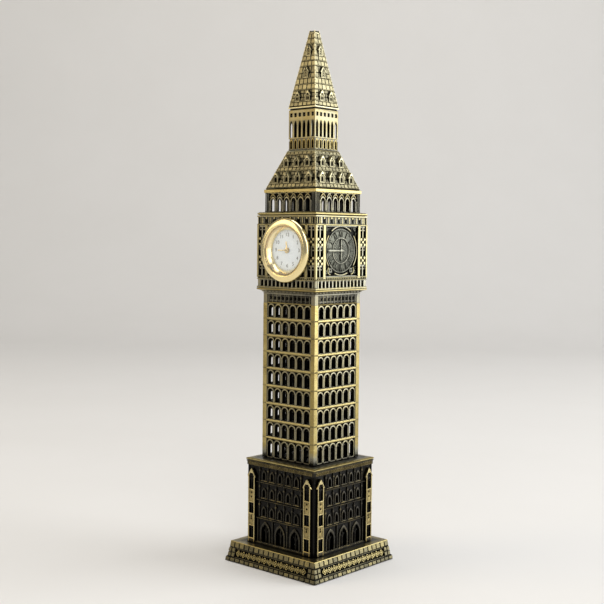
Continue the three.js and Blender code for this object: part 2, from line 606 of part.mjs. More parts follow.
// Fork that rides in the stem's groove and holds it in or out.
function settingLever() {
  const [x0, x1] = [CROWN.groove[0] + 0.1, CROWN.groove[1] - 0.1];
  const plate = box(x0, x1, AT.stem - 0.9, AT.bridge[0] - 0.1, -1.8, 0.1);
  return cut(plate, box(x0 - 1, x1 + 1, AT.stem - 0.27, AT.stem + 0.27, -0.27, 1));
}

add(clock, 'setting_lever', settingLever(), steel);
add(clock, 'setting_stem', settingStem(), steel);
add(clock, 'setting_crown', settingCrown(), polishedGold);

export default model;
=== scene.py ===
"""Looks of the miniature clock tower: relief castings, materials, light and camera around the CAD."""
import json
import math
import random

import bmesh
import bpy
import numpy as np
from mathutils import Matrix, Vector


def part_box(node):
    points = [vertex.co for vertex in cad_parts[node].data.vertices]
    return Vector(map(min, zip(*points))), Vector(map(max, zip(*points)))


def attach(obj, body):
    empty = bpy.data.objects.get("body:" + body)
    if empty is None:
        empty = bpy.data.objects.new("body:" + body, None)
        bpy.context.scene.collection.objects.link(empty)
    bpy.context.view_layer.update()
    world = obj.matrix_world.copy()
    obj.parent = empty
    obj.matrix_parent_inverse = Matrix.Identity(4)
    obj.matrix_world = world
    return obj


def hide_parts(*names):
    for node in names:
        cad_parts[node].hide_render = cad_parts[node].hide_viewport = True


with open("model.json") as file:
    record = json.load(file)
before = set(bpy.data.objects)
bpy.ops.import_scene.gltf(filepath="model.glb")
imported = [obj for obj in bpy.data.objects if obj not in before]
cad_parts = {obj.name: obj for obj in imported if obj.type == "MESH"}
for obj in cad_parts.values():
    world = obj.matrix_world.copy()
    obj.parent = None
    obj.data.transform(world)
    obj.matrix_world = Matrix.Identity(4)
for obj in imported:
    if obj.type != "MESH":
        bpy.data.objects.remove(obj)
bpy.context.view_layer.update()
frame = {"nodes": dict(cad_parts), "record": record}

MM = 0.001
SIDES = ["front", "right", "back", "left"]
MITRE = 0.03                    # half of the gap where two walls meet at a corner
rng = random.Random(7)


# ------------------------------------------------------------------ sizes from the frame, in millimetres
def node_box(node):
    low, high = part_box(node)
    return np.array(low) / MM, np.array(high) / MM


def levels(node):
    low, high = node_box(node)
    return low[2], high[2]


def half_width(node):
    return node_box(node)[1][0]


def depths(node):
    """How far the node's back and front stand out from the tower's axis."""
    low, high = node_box(node)
    return -high[1], -low[1]


JOINT = 0.1                     # joint line between two tiers
BASE_Z = levels("base_plinth")
PODIUM_Z = levels("podium_wall_front")
SHAFT_Z = levels("shaft_wall_front")
CLOCK_Z = levels("clock_stage_wall_front")
BELFRY_Z = levels("belfry_wall_front")
ROOF_Z = levels("lower_roof")
LANTERN_Z = levels("lantern")
SPIRE_Z = levels("spire")
CAP_FOOT = levels("podium_cap")[0]
DECK_FOOT = SHAFT_Z[1] + JOINT
CORNICE_FOOT = CLOCK_Z[1] + JOINT
DIAL_Z = sum(levels("bezel")) / 2
BASE_HALF = half_width("base_plinth")
PODIUM_HALF = depths("podium_wall_front")[1] - 1.0
SHAFT_HALF = half_width("shaft_wall_front")
STAGE_HALF = depths("clock_stage_wall_front")[1]
BELFRY_HALF = half_width("belfry_wall_front") - 0.1
LANTERN_HALF = half_width("lantern")


# ------------------------------------------------------------------ outlines, as lists of (x, z)
def polar(x, z, r, angle):
    """The point r away from (x, z), at an angle in degrees from three o'clock."""
    a = math.radians(angle)
    return x + r * math.cos(a), z + r * math.sin(a)


def arc(x, z, r, start, end, n=8):
    return [polar(x, z, r, start + (end - start) * i / n) for i in range(n + 1)]


def circle(x, z, r, n=16):
    return arc(x, z, r, 0, 360, n)[:-1]


def rect(x0, x1, z0, z1):
    return [(x0, z0), (x1, z0), (x1, z1), (x0, z1)]


def foils(x, z, r, lobes=4, n=6, turn=0):
    """Quatrefoil or the like: round lobes about a centre, the first of them at the angle turn."""
    points = []
    for k in range(lobes):
        a = turn + 360 * k / lobes
        points += arc(*polar(x, z, r * 0.55, a), r * 0.45, a - 105, a + 105, n)
    return points


def round_arch(x, half, foot, spring):
    """Straight jambs with a semicircular head."""
    return [(x - half, foot), (x + half, foot)] + arc(x, spring, half, 0, 180)


def pointed_arch(x, half, foot, spring, apex, n=5):
    """Straight jambs with two arcs that meet in a point."""
    rise = apex - spring
    r = (half * half + rise * rise) / (2 * half)
    right = arc(x + half - r, spring, r, 0, math.degrees(math.asin(min(1.0, rise / r))), n)
    left = [(2 * x - px, pz) for px, pz in reversed(right[:-1])]
    return [(x - half, foot), (x + half, foot)] + right + left


def gable(x, half, foot, eaves, apex):
    return [(x - half, foot), (x + half, foot), (x + half, eaves), (x, apex), (x - half, eaves)]


def ribbon(path, width):
    """Closed outline of a strip of constant width along an open path."""
    path = np.array(path, float)
    along = np.gradient(path, axis=0)
    along /= np.linalg.norm(along, axis=1, keepdims=True)
    across = np.stack([-along[:, 1], along[:, 0]], axis=1) * width / 2
    return [tuple(p) for p in np.concatenate([path + across, (path - across)[::-1]])]


# ------------------------------------------------------------------ mesh building
def solid_of(curve):
    """A curve's or text's closed solid, as points and faces; the curve itself is used up."""
    ob = bpy.data.objects.new(curve.name, curve)
    bm = bmesh.new()
    bm.from_mesh(ob.to_mesh())
    bmesh.ops.remove_doubles(bm, verts=bm.verts, dist=2e-4)
    bmesh.ops.recalc_face_normals(bm, faces=bm.faces)
    points = np.array([v.co for v in bm.verts], float)
    faces = [[v.index for v in f.verts] for f in bm.faces]
    bm.free()
    ob.to_mesh_clear()
    bpy.data.objects.remove(ob)
    bpy.data.curves.remove(curve)
    return points, faces


def filled(loops, thickness, bevel, steps=1):
    """Flat plate with holes and softened edges: its points (x, z, depth about the middle) and faces."""
    curve = bpy.data.curves.new("outline", "CURVE")
    curve.dimensions = "2D"
    curve.fill_mode = "BOTH"
    curve.extrude = max(thickness / 2 - bevel, 1e-4)
    curve.bevel_depth = bevel
    curve.bevel_resolution = steps
    curve.offset = -bevel
    for loop in loops:
        spline = curve.splines.new("POLY")
        spline.points.add(len(loop) - 1)
        for point, (x, z) in zip(spline.points, loop):
            point.co = (x, z, 0, 1)
        spline.use_cyclic_u = True
    return solid_of(curve)


def lofted(rings, sides):
    """Quads between rings of points that follow each other."""
    return [(sides * k + i, sides * k + (i + 1) % sides, sides * (k + 1) + (i + 1) % sides,
             sides * (k + 1) + i) for k in range(rings - 1) for i in range(sides)]


def finished(bm, mesh, sharp=28):
    """Writes bm to its mesh, smooth except at edges sharper than the angle in degrees."""
    bm.to_mesh(mesh)
    bm.free()
    mesh.shade_smooth()
    mesh.set_sharp_from_angle(angle=math.radians(sharp))
    return mesh


class Casting:
    """Relief of one face as seen from the front: x across, z up, and d outward from the face's plane."""

    def __init__(self, plane=0.0):
        self.plane = plane
        self.points, self.faces, self.rub = [], [], []
        self.count = 0
        self.slope = None

    def add(self, points, faces, rub):
        """points are (x, d, z), or (x, d, s) on the current slope; rub is how bright each is worn."""
        x, d, z = np.array(points, float).T
        if self.slope is None:
            front = np.stack([x, -self.plane - d, z], axis=1)
        else:
            half, z0, lean = self.slope
            front = np.stack([x, -half - d * math.cos(lean) + z * math.sin(lean),
                              z0 + z * math.cos(lean) + d * math.sin(lean)], axis=1)
        self.points.append(front)
        self.rub.append(np.broadcast_to(np.array(rub, float), (len(x),)))
        self.faces += [[i + self.count for i in face] for face in faces]
        self.count += len(x)

    def on_slope(self, half0, half1, z0, z1):
        """Later pieces lie on a face that leans from half0 at z0 to half1 at z1: s runs up it, and d stands
        out from it. Returns the function that gives s at a height."""
        lean = math.atan2(half0 - half1, z1 - z0)
        self.slope = (half0, z0, lean)
        return lambda z: (z - z0) / math.cos(lean)

    def upright(self):
        self.slope = None

    def plate(self, loops, back, front, rub=0.5, side=0.12, bevel=0.1, steps=1):
        """Flat plate from one outline, or from several, where those inside another are holes."""
        if isinstance(loops[0], tuple):
            loops = [loops]
        points, faces = filled(loops, front - back, bevel, steps)
        x, z, depth = points.T
        near = depth > (front - back) / 2 - bevel * 1.05
        self.add(np.stack([x, depth + (front + back) / 2, z], axis=1), faces, np.where(near, rub, side))

    def slab(self, loops, z0, z1, rub):
        """Level plate between two heights, from outlines seen from above."""
        points, faces = filled(loops, z1 - z0, 0.05)
        self.add(points + (0, 0, (z0 + z1) / 2), faces, rub)

    def bar(self, x0, x1, z0, z1, back, front, rub=0.5, side=0.12, bevel=0.1):
        """Block with chamfered front edges; rub may be (at the foot, at the top)."""
        x0, x1 = min(x0, x1), max(x0, x1)
        b = min(bevel, (x1 - x0) * 0.4, (z1 - z0) * 0.4)
        low, high = rub if isinstance(rub, tuple) else (rub, rub)
        points, worn = [], []
        for inset, d in ((0, back), (0, front - b), (b * 0.35, front - b * 0.35), (b, front)):
            points += [(x, d, z) for x, z in rect(x0 + inset, x1 - inset, z0 + inset, z1 - inset)]
            worn += [side] * 4 if d < front - b * 0.5 else [low, low, high, high]
        self.add(points, [(0, 3, 2, 1), (12, 13, 14, 15)] + lofted(4, 4), worn)

    def post(self, x, half, z0, z1, back, front, **finish):
        """Bar centred on x."""
        self.bar(x - half, x + half, z0, z1, back, front, **finish)

    def course(self, half, profile, rub=0.8, side=0.12):
        """Moulding from -half to half: profile is (d, z) from its lower back edge round to the upper."""
        n = len(profile)
        ds = [d for d, _ in profile]
        points = [(x, d, z) for x in (-half, half) for d, z in profile]
        worn = [side + (rub - side) * ((d - min(ds)) / (max(ds) - min(ds))) ** 0.5 for d in ds]
        faces = [tuple(range(n)), tuple(reversed(range(n, 2 * n)))]
        self.add(points, faces + [face[::-1] for face in lofted(2, n)], worn * 2)

    def shaft(self, x, d, profile, rub=0.6, sides=10):
        """Turned colonnette about an upright axis at (x, d): profile is a list of (radius, z)."""
        points = [(*p, z) for r, z in profile for p in circle(x, d, r, sides)]
        widest = max(r for r, _ in profile)
        worn = np.repeat([rub * min(1, 0.55 + 0.45 * r / widest) for r, _ in profile], sides)
        last = sides * (len(profile) - 1)
        ends = [tuple(range(sides)), tuple(reversed(range(last, last + sides)))]
        self.add(points, ends + [face[::-1] for face in lofted(len(profile), sides)], worn)

    def hipped(self, sections, rub):
        """Square solid about the tower's axis from (half, z) sections; add it once, not on each face."""
        points = [(x, d, z) for half, z in sections
                  for x, d in ((-half, half), (half, half), (half, -half), (-half, -half))]
        last = 4 * (len(sections) - 1)
        ends = [(3, 2, 1, 0), (last, last + 1, last + 2, last + 3)]
        self.add(points, ends + lofted(len(sections), 4), rub)

    def mesh(self, name, mitre=None):
        """The face's mesh in metres, cut at 45 degrees beyond the given gap from each corner."""
        mesh = bpy.data.meshes.new(name)
        mesh.from_pydata([tuple(p) for p in np.concatenate(self.points) * MM], [], self.faces)
        rub = mesh.attributes.new("rub", "FLOAT", "POINT")
        rub.data.foreach_set("value", np.concatenate(self.rub).astype(np.float32))
        bm = bmesh.new()
        bm.from_mesh(mesh)
        if mitre is not None:
            for sign in (-1, 1):
                geometry = list(bm.verts) + list(bm.edges) + list(bm.faces)
                cut = bmesh.ops.bisect_plane(bm, geom=geometry, dist=1e-8, plane_co=(0, mitre * MM, 0),
                                             plane_no=(sign, 1, 0), clear_outer=True)
                edges = [e for e in cut["geom_cut"] if isinstance(e, bmesh.types.BMEdge) and e.is_boundary]
                bmesh.ops.holes_fill(bm, edges=edges, sides=0)
        bmesh.ops.recalc_face_normals(bm, faces=bm.faces)
        return finished(bm, mesh)


def joined(name, meshes, turns=(0,)):
    """One mesh from several, each repeated at quarter turns about the tower's axis."""
    bm = bmesh.new()
    for mesh in meshes:
        for turn in turns:
            before = len(bm.verts)
            bm.from_mesh(mesh)
            bm.verts.ensure_lookup_table()
            bmesh.ops.rotate(bm, verts=bm.verts[before:], cent=(0, 0, 0),
                             matrix=Matrix.Rotation(turn * math.pi / 2, 3, "Z"))
    return finished(bm, bpy.data.meshes.new(name))


def placed(name, data):
    """A new object in the scene."""
    ob = bpy.data.objects.new(name, data)
    bpy.context.scene.collection.objects.link(ob)
    return ob


def piece(name, mesh, slot, nodes=(), material=None, body="tower", turn=0):
    """Puts a finished mesh in the scene: its material, from the slot's finish unless one is given, its
    body, and hides the CAD nodes it stands for.
    """
    ob = placed(name, mesh)
    ob.rotation_euler = (0, 0, turn * math.pi / 2)
    if not mesh.materials:
        mesh.materials.append(material or FINISHES[slot])
    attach(ob, body)
    if nodes:
        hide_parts(*nodes)


def four_walls(stage, casting, slot):
    """The same casting on all four sides."""
    mesh = casting.mesh(stage, MITRE)
    for turn, side in enumerate(SIDES):
        piece(f"{stage}_relief_{side}", mesh, slot, [f"{stage}_wall_{side}"], turn=turn)


def ledge(name, node, foot, profile, rub=0.95, extra=None):
    """Square slab with a moulded edge: profile is (inset, height) from its lower edge to its upper one."""
    half = half_width(node)
    points = [(half - inset, foot + height) for inset, height in profile]
    inner = min(d for d, _ in points) - 2.0
    inside = inner + 0.3
    side = Casting()
    side.course(half, [(inner, points[0][1])] + points + [(inner, points[-1][1])], rub=rub, side=0.25)
    if extra:
        extra(side)
    middle = Casting()
    middle.slab([rect(-inside, inside, -inside, inside), circle(0, 0, 4.0, 24)],
                points[0][1] + 0.02, points[-1][1] - 0.02, rub=0.28)
    edges = joined(name, [side.mesh(name, 0.0)], range(4))
    piece(name, joined(name, [edges, middle.mesh(name)]), "antique_brass", [node])


# ------------------------------------------------------------------ materials
class Shader:
    """A Principled material and short ways to build its node tree."""

    def __init__(self, name, metallic=0.0, **sockets):
        self.material = bpy.data.materials.new(name)
        self.material.use_nodes = True
        self.tree = self.material.node_tree
        self.surface = self.tree.nodes["Principled BSDF"]
        self.surface.inputs["Metallic"].default_value = metallic
        for socket, value in sockets.items():
            self.surface.inputs[socket.replace("_", " ")].default_value = value
        self.place = self.node("ShaderNodeTexCoord").outputs["Object"]

    def node(self, kind, **settings):
        node = self.tree.nodes.new(kind)
        for key, value in settings.items():
            setattr(node, key, value)
        return node

    def link(self, source, target):
        if isinstance(source, (int, float)):
            target.default_value = source
        else:
            self.tree.links.new(source, target)

    def drive(self, socket, source):
        self.link(source, self.surface.inputs[socket])

    def noise(self, size_mm, detail=4, rough=0.6, stretch=None):
        place = self.place
        if stretch:
            mapping = self.node("ShaderNodeMapping")
            mapping.inputs["Scale"].default_value = stretch
            self.link(place, mapping.inputs["Vector"])
            place = mapping.outputs["Vector"]
        node = self.node("ShaderNodeTexNoise")
        self.link(place, node.inputs["Vector"])
        node.inputs["Scale"].default_value = 1 / (size_mm * MM)
        node.inputs["Detail"].default_value = detail
        node.inputs["Roughness"].default_value = rough
        return node.outputs["Fac"]

    def math(self, operation, a, b, clamp=False):
        node = self.node("ShaderNodeMath", operation=operation, use_clamp=clamp)
        self.link(a, node.inputs[0])
        self.link(b, node.inputs[1])
        return node.outputs[0]

    def spread(self, value, to_low, to_high, low=0.3, high=0.7):
        """Maps low to to_low and high to to_high; a noise is seldom outside 0.3 to 0.7."""
        node = self.node("ShaderNodeMapRange")
        self.link(value, node.inputs["Value"])
        for socket, number in (("From Min", low), ("From Max", high), ("To Min", to_low),
                               ("To Max", to_high)):
            node.inputs[socket].default_value = number
        return node.outputs["Result"]

    def blend(self, a, b, share):
        """The given share of a, and the rest of b."""
        return self.math("ADD", self.math("MULTIPLY", a, share), self.math("MULTIPLY", b, 1 - share))

    def ramp(self, value, stops):
        node = self.node("ShaderNodeValToRGB")
        elements = node.color_ramp.elements
        while len(elements) < len(stops):
            elements.new(0.5)
        for element, (at, color) in zip(elements, stops):
            element.position = at
            element.color = (*color, 1)
        self.link(value, node.inputs["Fac"])
        return node.outputs["Color"]

    def cavity(self, reach_mm):
        node = self.node("ShaderNodeAmbientOcclusion", samples=8)
        node.inputs["Distance"].default_value = reach_mm * MM
        return node.outputs["AO"]

    def rub(self):
        return self.node("ShaderNodeAttribute", attribute_name="rub").outputs["Fac"]

    def bump(self, height, depth_mm):
        node = self.node("ShaderNodeBump")
        node.inputs["Distance"].default_value = depth_mm * MM
        self.link(height, node.inputs["Height"])
        self.drive("Normal", node.outputs["Normal"])


def cast_metal(name, stops, rough, coat=0.0):
    """Antique casting: near black in the recesses, through stops to bright where it's raised and rubbed."""
    s = Shader(name, metallic=1.0, Coat_Weight=coat, Coat_Roughness=0.18)
    fine = s.noise(0.5, 5, 0.7)
    patch = s.noise(6.0, 3, 0.55)
    grain = s.noise(0.16, 3)
    wear = s.math("ADD", s.rub(), s.spread(s.cavity(1.3), -0.34, 0.06, 0.25, 1.0))
    wear = s.math("ADD", wear, s.spread(fine, -0.1, 0.1))
    wear = s.math("ADD", wear, s.spread(patch, -0.07, 0.07), clamp=True)
    s.drive("Base Color", s.ramp(wear, [(0.0, (0.004, 0.004, 0.003))] + stops))
    shine = s.math("ADD", s.spread(wear, *rough, 0.1, 0.9), s.spread(patch, -0.06, 0.06))
    s.drive("Roughness", s.math("ADD", shine, s.spread(grain, -0.05, 0.05), clamp=True))
    s.bump(s.blend(fine, grain, 0.7), 0.05)
    return s.material


def plain_metal(name, dark, light, rough, grain_mm=0.3, stretch=None, depth_mm=0.006):
    """Plated or brushed metal with fine grain, and painted shade: its colour runs from light where it lies
    open to dark in hollows and where parts meet.
    """
    s = Shader(name, metallic=1.0)
    grain = s.noise(grain_mm, stretch=stretch)
    cloud = s.noise(5.0, 3)
    # painted shade: ambient occlusion, times a faint cloud noise, darkens the colour in hollows and where
    # parts meet
    shade = s.math("MULTIPLY", s.cavity(0.8), s.spread(cloud, 0.85, 1.0))
    s.drive("Base Color", s.ramp(shade, [(0.15, dark), (0.85, light)]))
    s.drive("Roughness", s.spread(s.blend(grain, cloud, 0.5), *rough))
    s.bump(grain, depth_mm)
    return s.material


def moulded(name, low, high, rough, grain_mm=0.25, depth_mm=0.01, **sockets):
    """Plastic, enamel, rubber and the like: slight colour drift, painted shade in hollows and where parts
    meet, and a fine surface grain.
    """
    s = Shader(name, **sockets)
    grain = s.noise(grain_mm)
    cloud = s.noise(4.0, 3)
    # painted shade: ambient occlusion darkens the colour in hollows and where parts meet; the cloud noise
    # adds a slight random drift
    shade = s.math("MULTIPLY", s.spread(s.cavity(1.0), 0.75, 1.0, 0.0, 1.0), s.spread(cloud, 0.9, 1.0))
    s.drive("Base Color", s.ramp(shade, [(0.6, low), (0.98, high)]))
    s.drive("Roughness", s.spread(grain, *rough))
    s.bump(grain, depth_mm)
    return s.material


def felted(name, low, high):
    """Pressed felt: tangled fibres and a soft sheen."""
    s = Shader(name, Sheen_Weight=0.5)
    fibre = s.noise(0.25, 6, 0.75, (1, 1, 3))
    tangle = s.noise(0.9, 4, 0.7)
    mix = s.blend(fibre, tangle, 0.6)
    s.drive("Base Color", s.ramp(mix, [(0.35, low), (0.65, high)]))
    s.drive("Roughness", s.spread(tangle, 0.88, 1.0))
    s.bump(mix, 0.12)
    return s.material


BRASS = cast_metal("antique_brass_cast", [(0.3, (0.014, 0.013, 0.01)), (0.5, (0.19, 0.182, 0.145)),
                                          (0.62, (0.27, 0.245, 0.15)), (0.8, (0.3, 0.232, 0.08)),
                                          (1.0, (0.48, 0.4, 0.175))], (0.4, 0.3))
BASE_BRASS = cast_metal("base_brass_cast", [(0.28, (0.014, 0.013, 0.009)), (0.48, (0.12, 0.108, 0.064)),
                                            (0.64, (0.21, 0.178, 0.085)), (0.8, (0.27, 0.22, 0.09)),
                                            (1.0, (0.44, 0.38, 0.19))], (0.42, 0.32))
DARK = cast_metal("dark_brass_cast", [(0.4, (0.009, 0.008, 0.006)), (0.6, (0.04, 0.036, 0.025)),
                                      (0.75, (0.2, 0.155, 0.06)), (0.88, (0.37, 0.29, 0.12)),
                                      (1.0, (0.52, 0.44, 0.22))], (0.34, 0.28), coat=0.15)
ROOF = cast_metal("roof_bronze_cast", [(0.25, (0.018, 0.017, 0.011)), (0.48, (0.13, 0.12, 0.078)),
                                       (0.7, (0.27, 0.24, 0.135)), (1.0, (0.5, 0.46, 0.29))], (0.44, 0.3))
GUNMETAL = cast_metal("relief_gunmetal_cast", [(0.28, (0.016, 0.016, 0.013)), (0.5, (0.112, 0.114, 0.09)),
                                               (0.64, (0.27, 0.262, 0.205)), (0.82, (0.29, 0.25, 0.12)),
                                               (1.0, (0.44, 0.395, 0.22))], (0.38, 0.29))
HAND_GOLD = plain_metal("gold_plate_hand", (0.6, 0.44, 0.18), (0.9, 0.74, 0.4), (0.2, 0.34),
                        depth_mm=0.002)
BLACK_INK = moulded("dial_black_ink", (0.008, 0.008, 0.01), (0.02, 0.02, 0.022), (0.35, 0.5),
                    depth_mm=0.004)
FINISHES = {
    "antique_brass": BRASS,
    "dark_brass": DARK,
    "roof_bronze": ROOF,
    "gold_plate": plain_metal("gold_plate_polished", (0.5, 0.34, 0.11), (0.95, 0.8, 0.43),
                              (0.13, 0.21), 0.6, depth_mm=0.002),
    "movement_steel": plain_metal("movement_steel_brushed", (0.22, 0.22, 0.23), (0.7, 0.71, 0.72),
                                  (0.22, 0.4), stretch=(1, 8, 1)),
    "screw_steel": plain_metal("screw_steel_plated", (0.2, 0.2, 0.2), (0.66, 0.67, 0.66), (0.25, 0.42)),
    "copper_wire": plain_metal("copper_wire_enamelled", (0.2, 0.06, 0.02), (0.8, 0.36, 0.16), (0.2, 0.36),
                               0.18, (10, 1, 1), 0.05),
    "dial_white": moulded("dial_white_enamel", (0.75, 0.82, 0.9), (0.85, 0.93, 1.0), (0.4, 0.55),
                          depth_mm=0.003),
    "black_plastic": moulded("black_plastic_satin", (0.01, 0.01, 0.011), (0.028, 0.028, 0.03), (0.4, 0.58)),
    "white_plastic": moulded("white_plastic_natural", (0.55, 0.55, 0.52), (0.8, 0.8, 0.76), (0.35, 0.5),
                             Subsurface_Weight=0.05),
    "silicone": moulded("silicone_ring_soft", (0.5, 0.5, 0.48), (0.74, 0.74, 0.71), (0.6, 0.78),
                        Subsurface_Weight=0.08),
    "circuit_board": moulded("circuit_board_mask", (0.01, 0.07, 0.03), (0.025, 0.16, 0.07), (0.2, 0.34)),
    "lens": moulded("lens_clear", (0.95, 0.97, 0.97), (1, 1, 1), (0.01, 0.03), 3.0, 0.0005,
                    Alpha=0.08, IOR=1.5),
    "felt": felted("felt_green", (0.008, 0.035, 0.018), (0.03, 0.11, 0.055)),
}
SLOTS = {part["node"]: part["material_slot"] for part in frame["record"]["subparts"]}
for node_name, node_object in frame["nodes"].items():
    for holder in node_object.material_slots:
        holder.material = FINISHES[SLOTS[node_name]]


# ------------------------------------------------------------------ shaft
STRINGS = [53.6, 61.0, 68.3, 75.8, 83.3, 90.3, 97.2, 104.3]     # heights of the string courses
SHAFT_FOOT = 45.4
FRIEZE_FOOT = 110.8
PAINTED_SHADE_TOP = 51.5                # painted shadow: from here down the corner strips are coloured darker towards the foot, as in the shade under the podium


def shaft_casting():
    """Nine tiers of six round-arched windows, with corner strips, string courses and a frieze."""
    c = Casting(SHAFT_HALF)
    z0, z1 = SHAFT_Z
    half = SHAFT_HALF
    tiers = list(zip([SHAFT_FOOT] + [z + 0.55 for z in STRINGS],
                     [z - 0.62 for z in STRINGS] + [FRIEZE_FOOT - 0.05]))
    holes, rims, inner = [], [], []
    for foot, top in tiers:
        sill, spring = foot + 0.45, foot + 0.74 * (top - foot) - 1.16
        for x in (-10.3, -6.2, -2.05, 2.05, 6.2, 10.3):
            holes.append(round_arch(x, 1.16, sill, spring))
            inner += [round_arch(x, 1.44, sill - 0.1, spring), round_arch(x, 1.15, sill - 0.3, spring)]
            rims += [round_arch(x, 2.03, foot - 0.05, top - 2.03),
                     round_arch(x, 1.62, foot - 0.4, top - 2.03)]
    c.plate([rect(-half, half, z0, z1)] + holes, -2.0, -1.15, rub=-0.1, side=-0.2)
    c.plate(inner, -1.3, -0.98, rub=0.24, side=0.0, bevel=0.12)
    c.plate(rims, -1.2, -0.28, rub=0.56, side=0.05, bevel=0.15, steps=2)
    for foot, top in tiers:
        for x in (-8.25, -4.125, 0.0, 4.125, 8.25):
            c.shaft(x, -0.42, [(0.3, foot - 0.1), (0.4, foot + 0.1), (0.4, foot + 0.35),
                               (0.24, foot + 0.55), (0.24, top - 2.3), (0.4, top - 2.05),
                               (0.4, top - 1.85), (0.3, top - 1.6)], rub=0.56)
            c.plate([(x - 0.75, top - 0.12), (x + 0.75, top - 0.12), (x, top - 1.15)], -1.2, -0.75,
                    rub=0.12)
    for z in STRINGS:
        c.course(half, [(-1, z - 0.6), (-0.42, z - 0.6), (-0.3, z - 0.38), (0, z - 0.2), (0, z + 0.25),
                        (-0.1, z + 0.4), (-0.5, z + 0.58), (-1, z + 0.58)], rub=0.98)
    for x0, x1, front, wear in ((12.2, 12.5, -0.2, 0.7), (12.35, half + 0.05, 0, 1.0)):
        for side, rub in ((-1, 0.84 * wear), (1, 0.74 * wear)):
            strip = side * x0, side * x1
            # painted shadow: this lowest length of strip fades to a fifth of its rub at the foot
            c.bar(*strip, z0, PAINTED_SHADE_TOP, -1.8, front, rub=(rub * 0.2, rub), bevel=0.13)
            c.bar(*strip, PAINTED_SHADE_TOP - 0.1, FRIEZE_FOOT + 0.1, -1.8, front, rub=rub, bevel=0.13)
            c.bar(*strip, FRIEZE_FOOT, z1, -1.8, front - 0.1, rub=0.46, bevel=0.13)
    low, high = FRIEZE_FOOT + 0.5, FRIEZE_FOOT + 4.1
    c.course(12.2, [(-1, FRIEZE_FOOT), (-0.2, FRIEZE_FOOT), (-0.05, low - 0.25), (-0.25, low), (-1, low)])
    panels = [foils(-10.26 + 2.28 * i, (low + high) / 2, 0.92, 4, 5, 45) for i in range(10)]
    c.plate([rect(-12.2, 12.2, low + 0.2, high - 0.2)] + panels, -1, -0.3, rub=0.3, side=0.05)
    for i in range(11):
        c.post(-11.4 + 2.28 * i, 0.16, low, high, -1, -0.1)
    c.course(half, [(-1, high - 0.3), (-0.2, high - 0.3), (0, high), (0, z1), (-1, z1)], rub=0.5)
    return c


four_walls("shaft", shaft_casting(), "antique_brass")


# ------------------------------------------------------------------ podium
def pilaster(c, x):
    """Gabled corner pilaster with a niche over a niche."""
    foot = PODIUM_Z[0]
    c.plate(gable(x, 1.88, foot, 37, 40.3), -0.7, 0.3, rub=0.06, side=0.04)
    for side in (-1, 1):
        c.bar(x + side * 1.3, x + side * 1.9, foot, 37.1, -0.2, 1.0, rub=0.88, side=0.3, bevel=0.14)
    c.post(x, 0.16, foot, 36.6, 0.2, 0.7, rub=0.24)
    for low, high, eye in ((26.0, 31.3, 28.2), (16.0, 21.0, 18.9)):
        c.plate([rect(x - 1.45, x + 1.45, low, high), circle(x, eye, 0.42, 12),
                 foils(x, high - 1.1, 0.55, 4, 4)], 0, 0.86, rub=0.74, side=0.1)
        for z in (low, high):
            c.post(x, 1.6, z - 0.22, z + 0.22, 0, 0.98, rub=0.86)
    for spring in (35.0, 24.8, 14.8):
        for at in (x - 0.75, x + 0.75):
            c.plate([rect(at - 0.6, at + 0.6, spring - 0.3, spring + 1.3),
                     pointed_arch(at, 0.4, spring - 0.2, spring, spring + 0.8, 4)],
                    0.2, 0.66, rub=0.3, side=0.04)
    c.plate([gable(x, 1.5, 36.6, 37.2, 39.7), foils(x, 37.9, 0.62, 4, 4, 45)], 0, 0.7, rub=0.4)
    c.plate(ribbon([(x - 2.1, 36.7), (x - 1.05, 38.5), (x, 40.3), (x + 1.05, 38.5), (x + 2.1, 36.7)], 0.5),
            -0.4, 1.0, rub=0.98, side=0.4, bevel=0.14)
    for t in (0.25, 0.5, 0.75):
        for side in (-1, 1):
            c.plate(circle(x + side * 2.1 * (1 - t), 36.95 + 3.6 * t, 0.24, 8), 0.3, 0.96, rub=0.9)
    c.post(x, 2.15, foot, foot + 1.5, -0.4, 0.98, bevel=0.25)
    c.post(x, 2.0, foot + 1.4, foot + 2.0, -0.4, 0.99, rub=0.8, bevel=0.2)


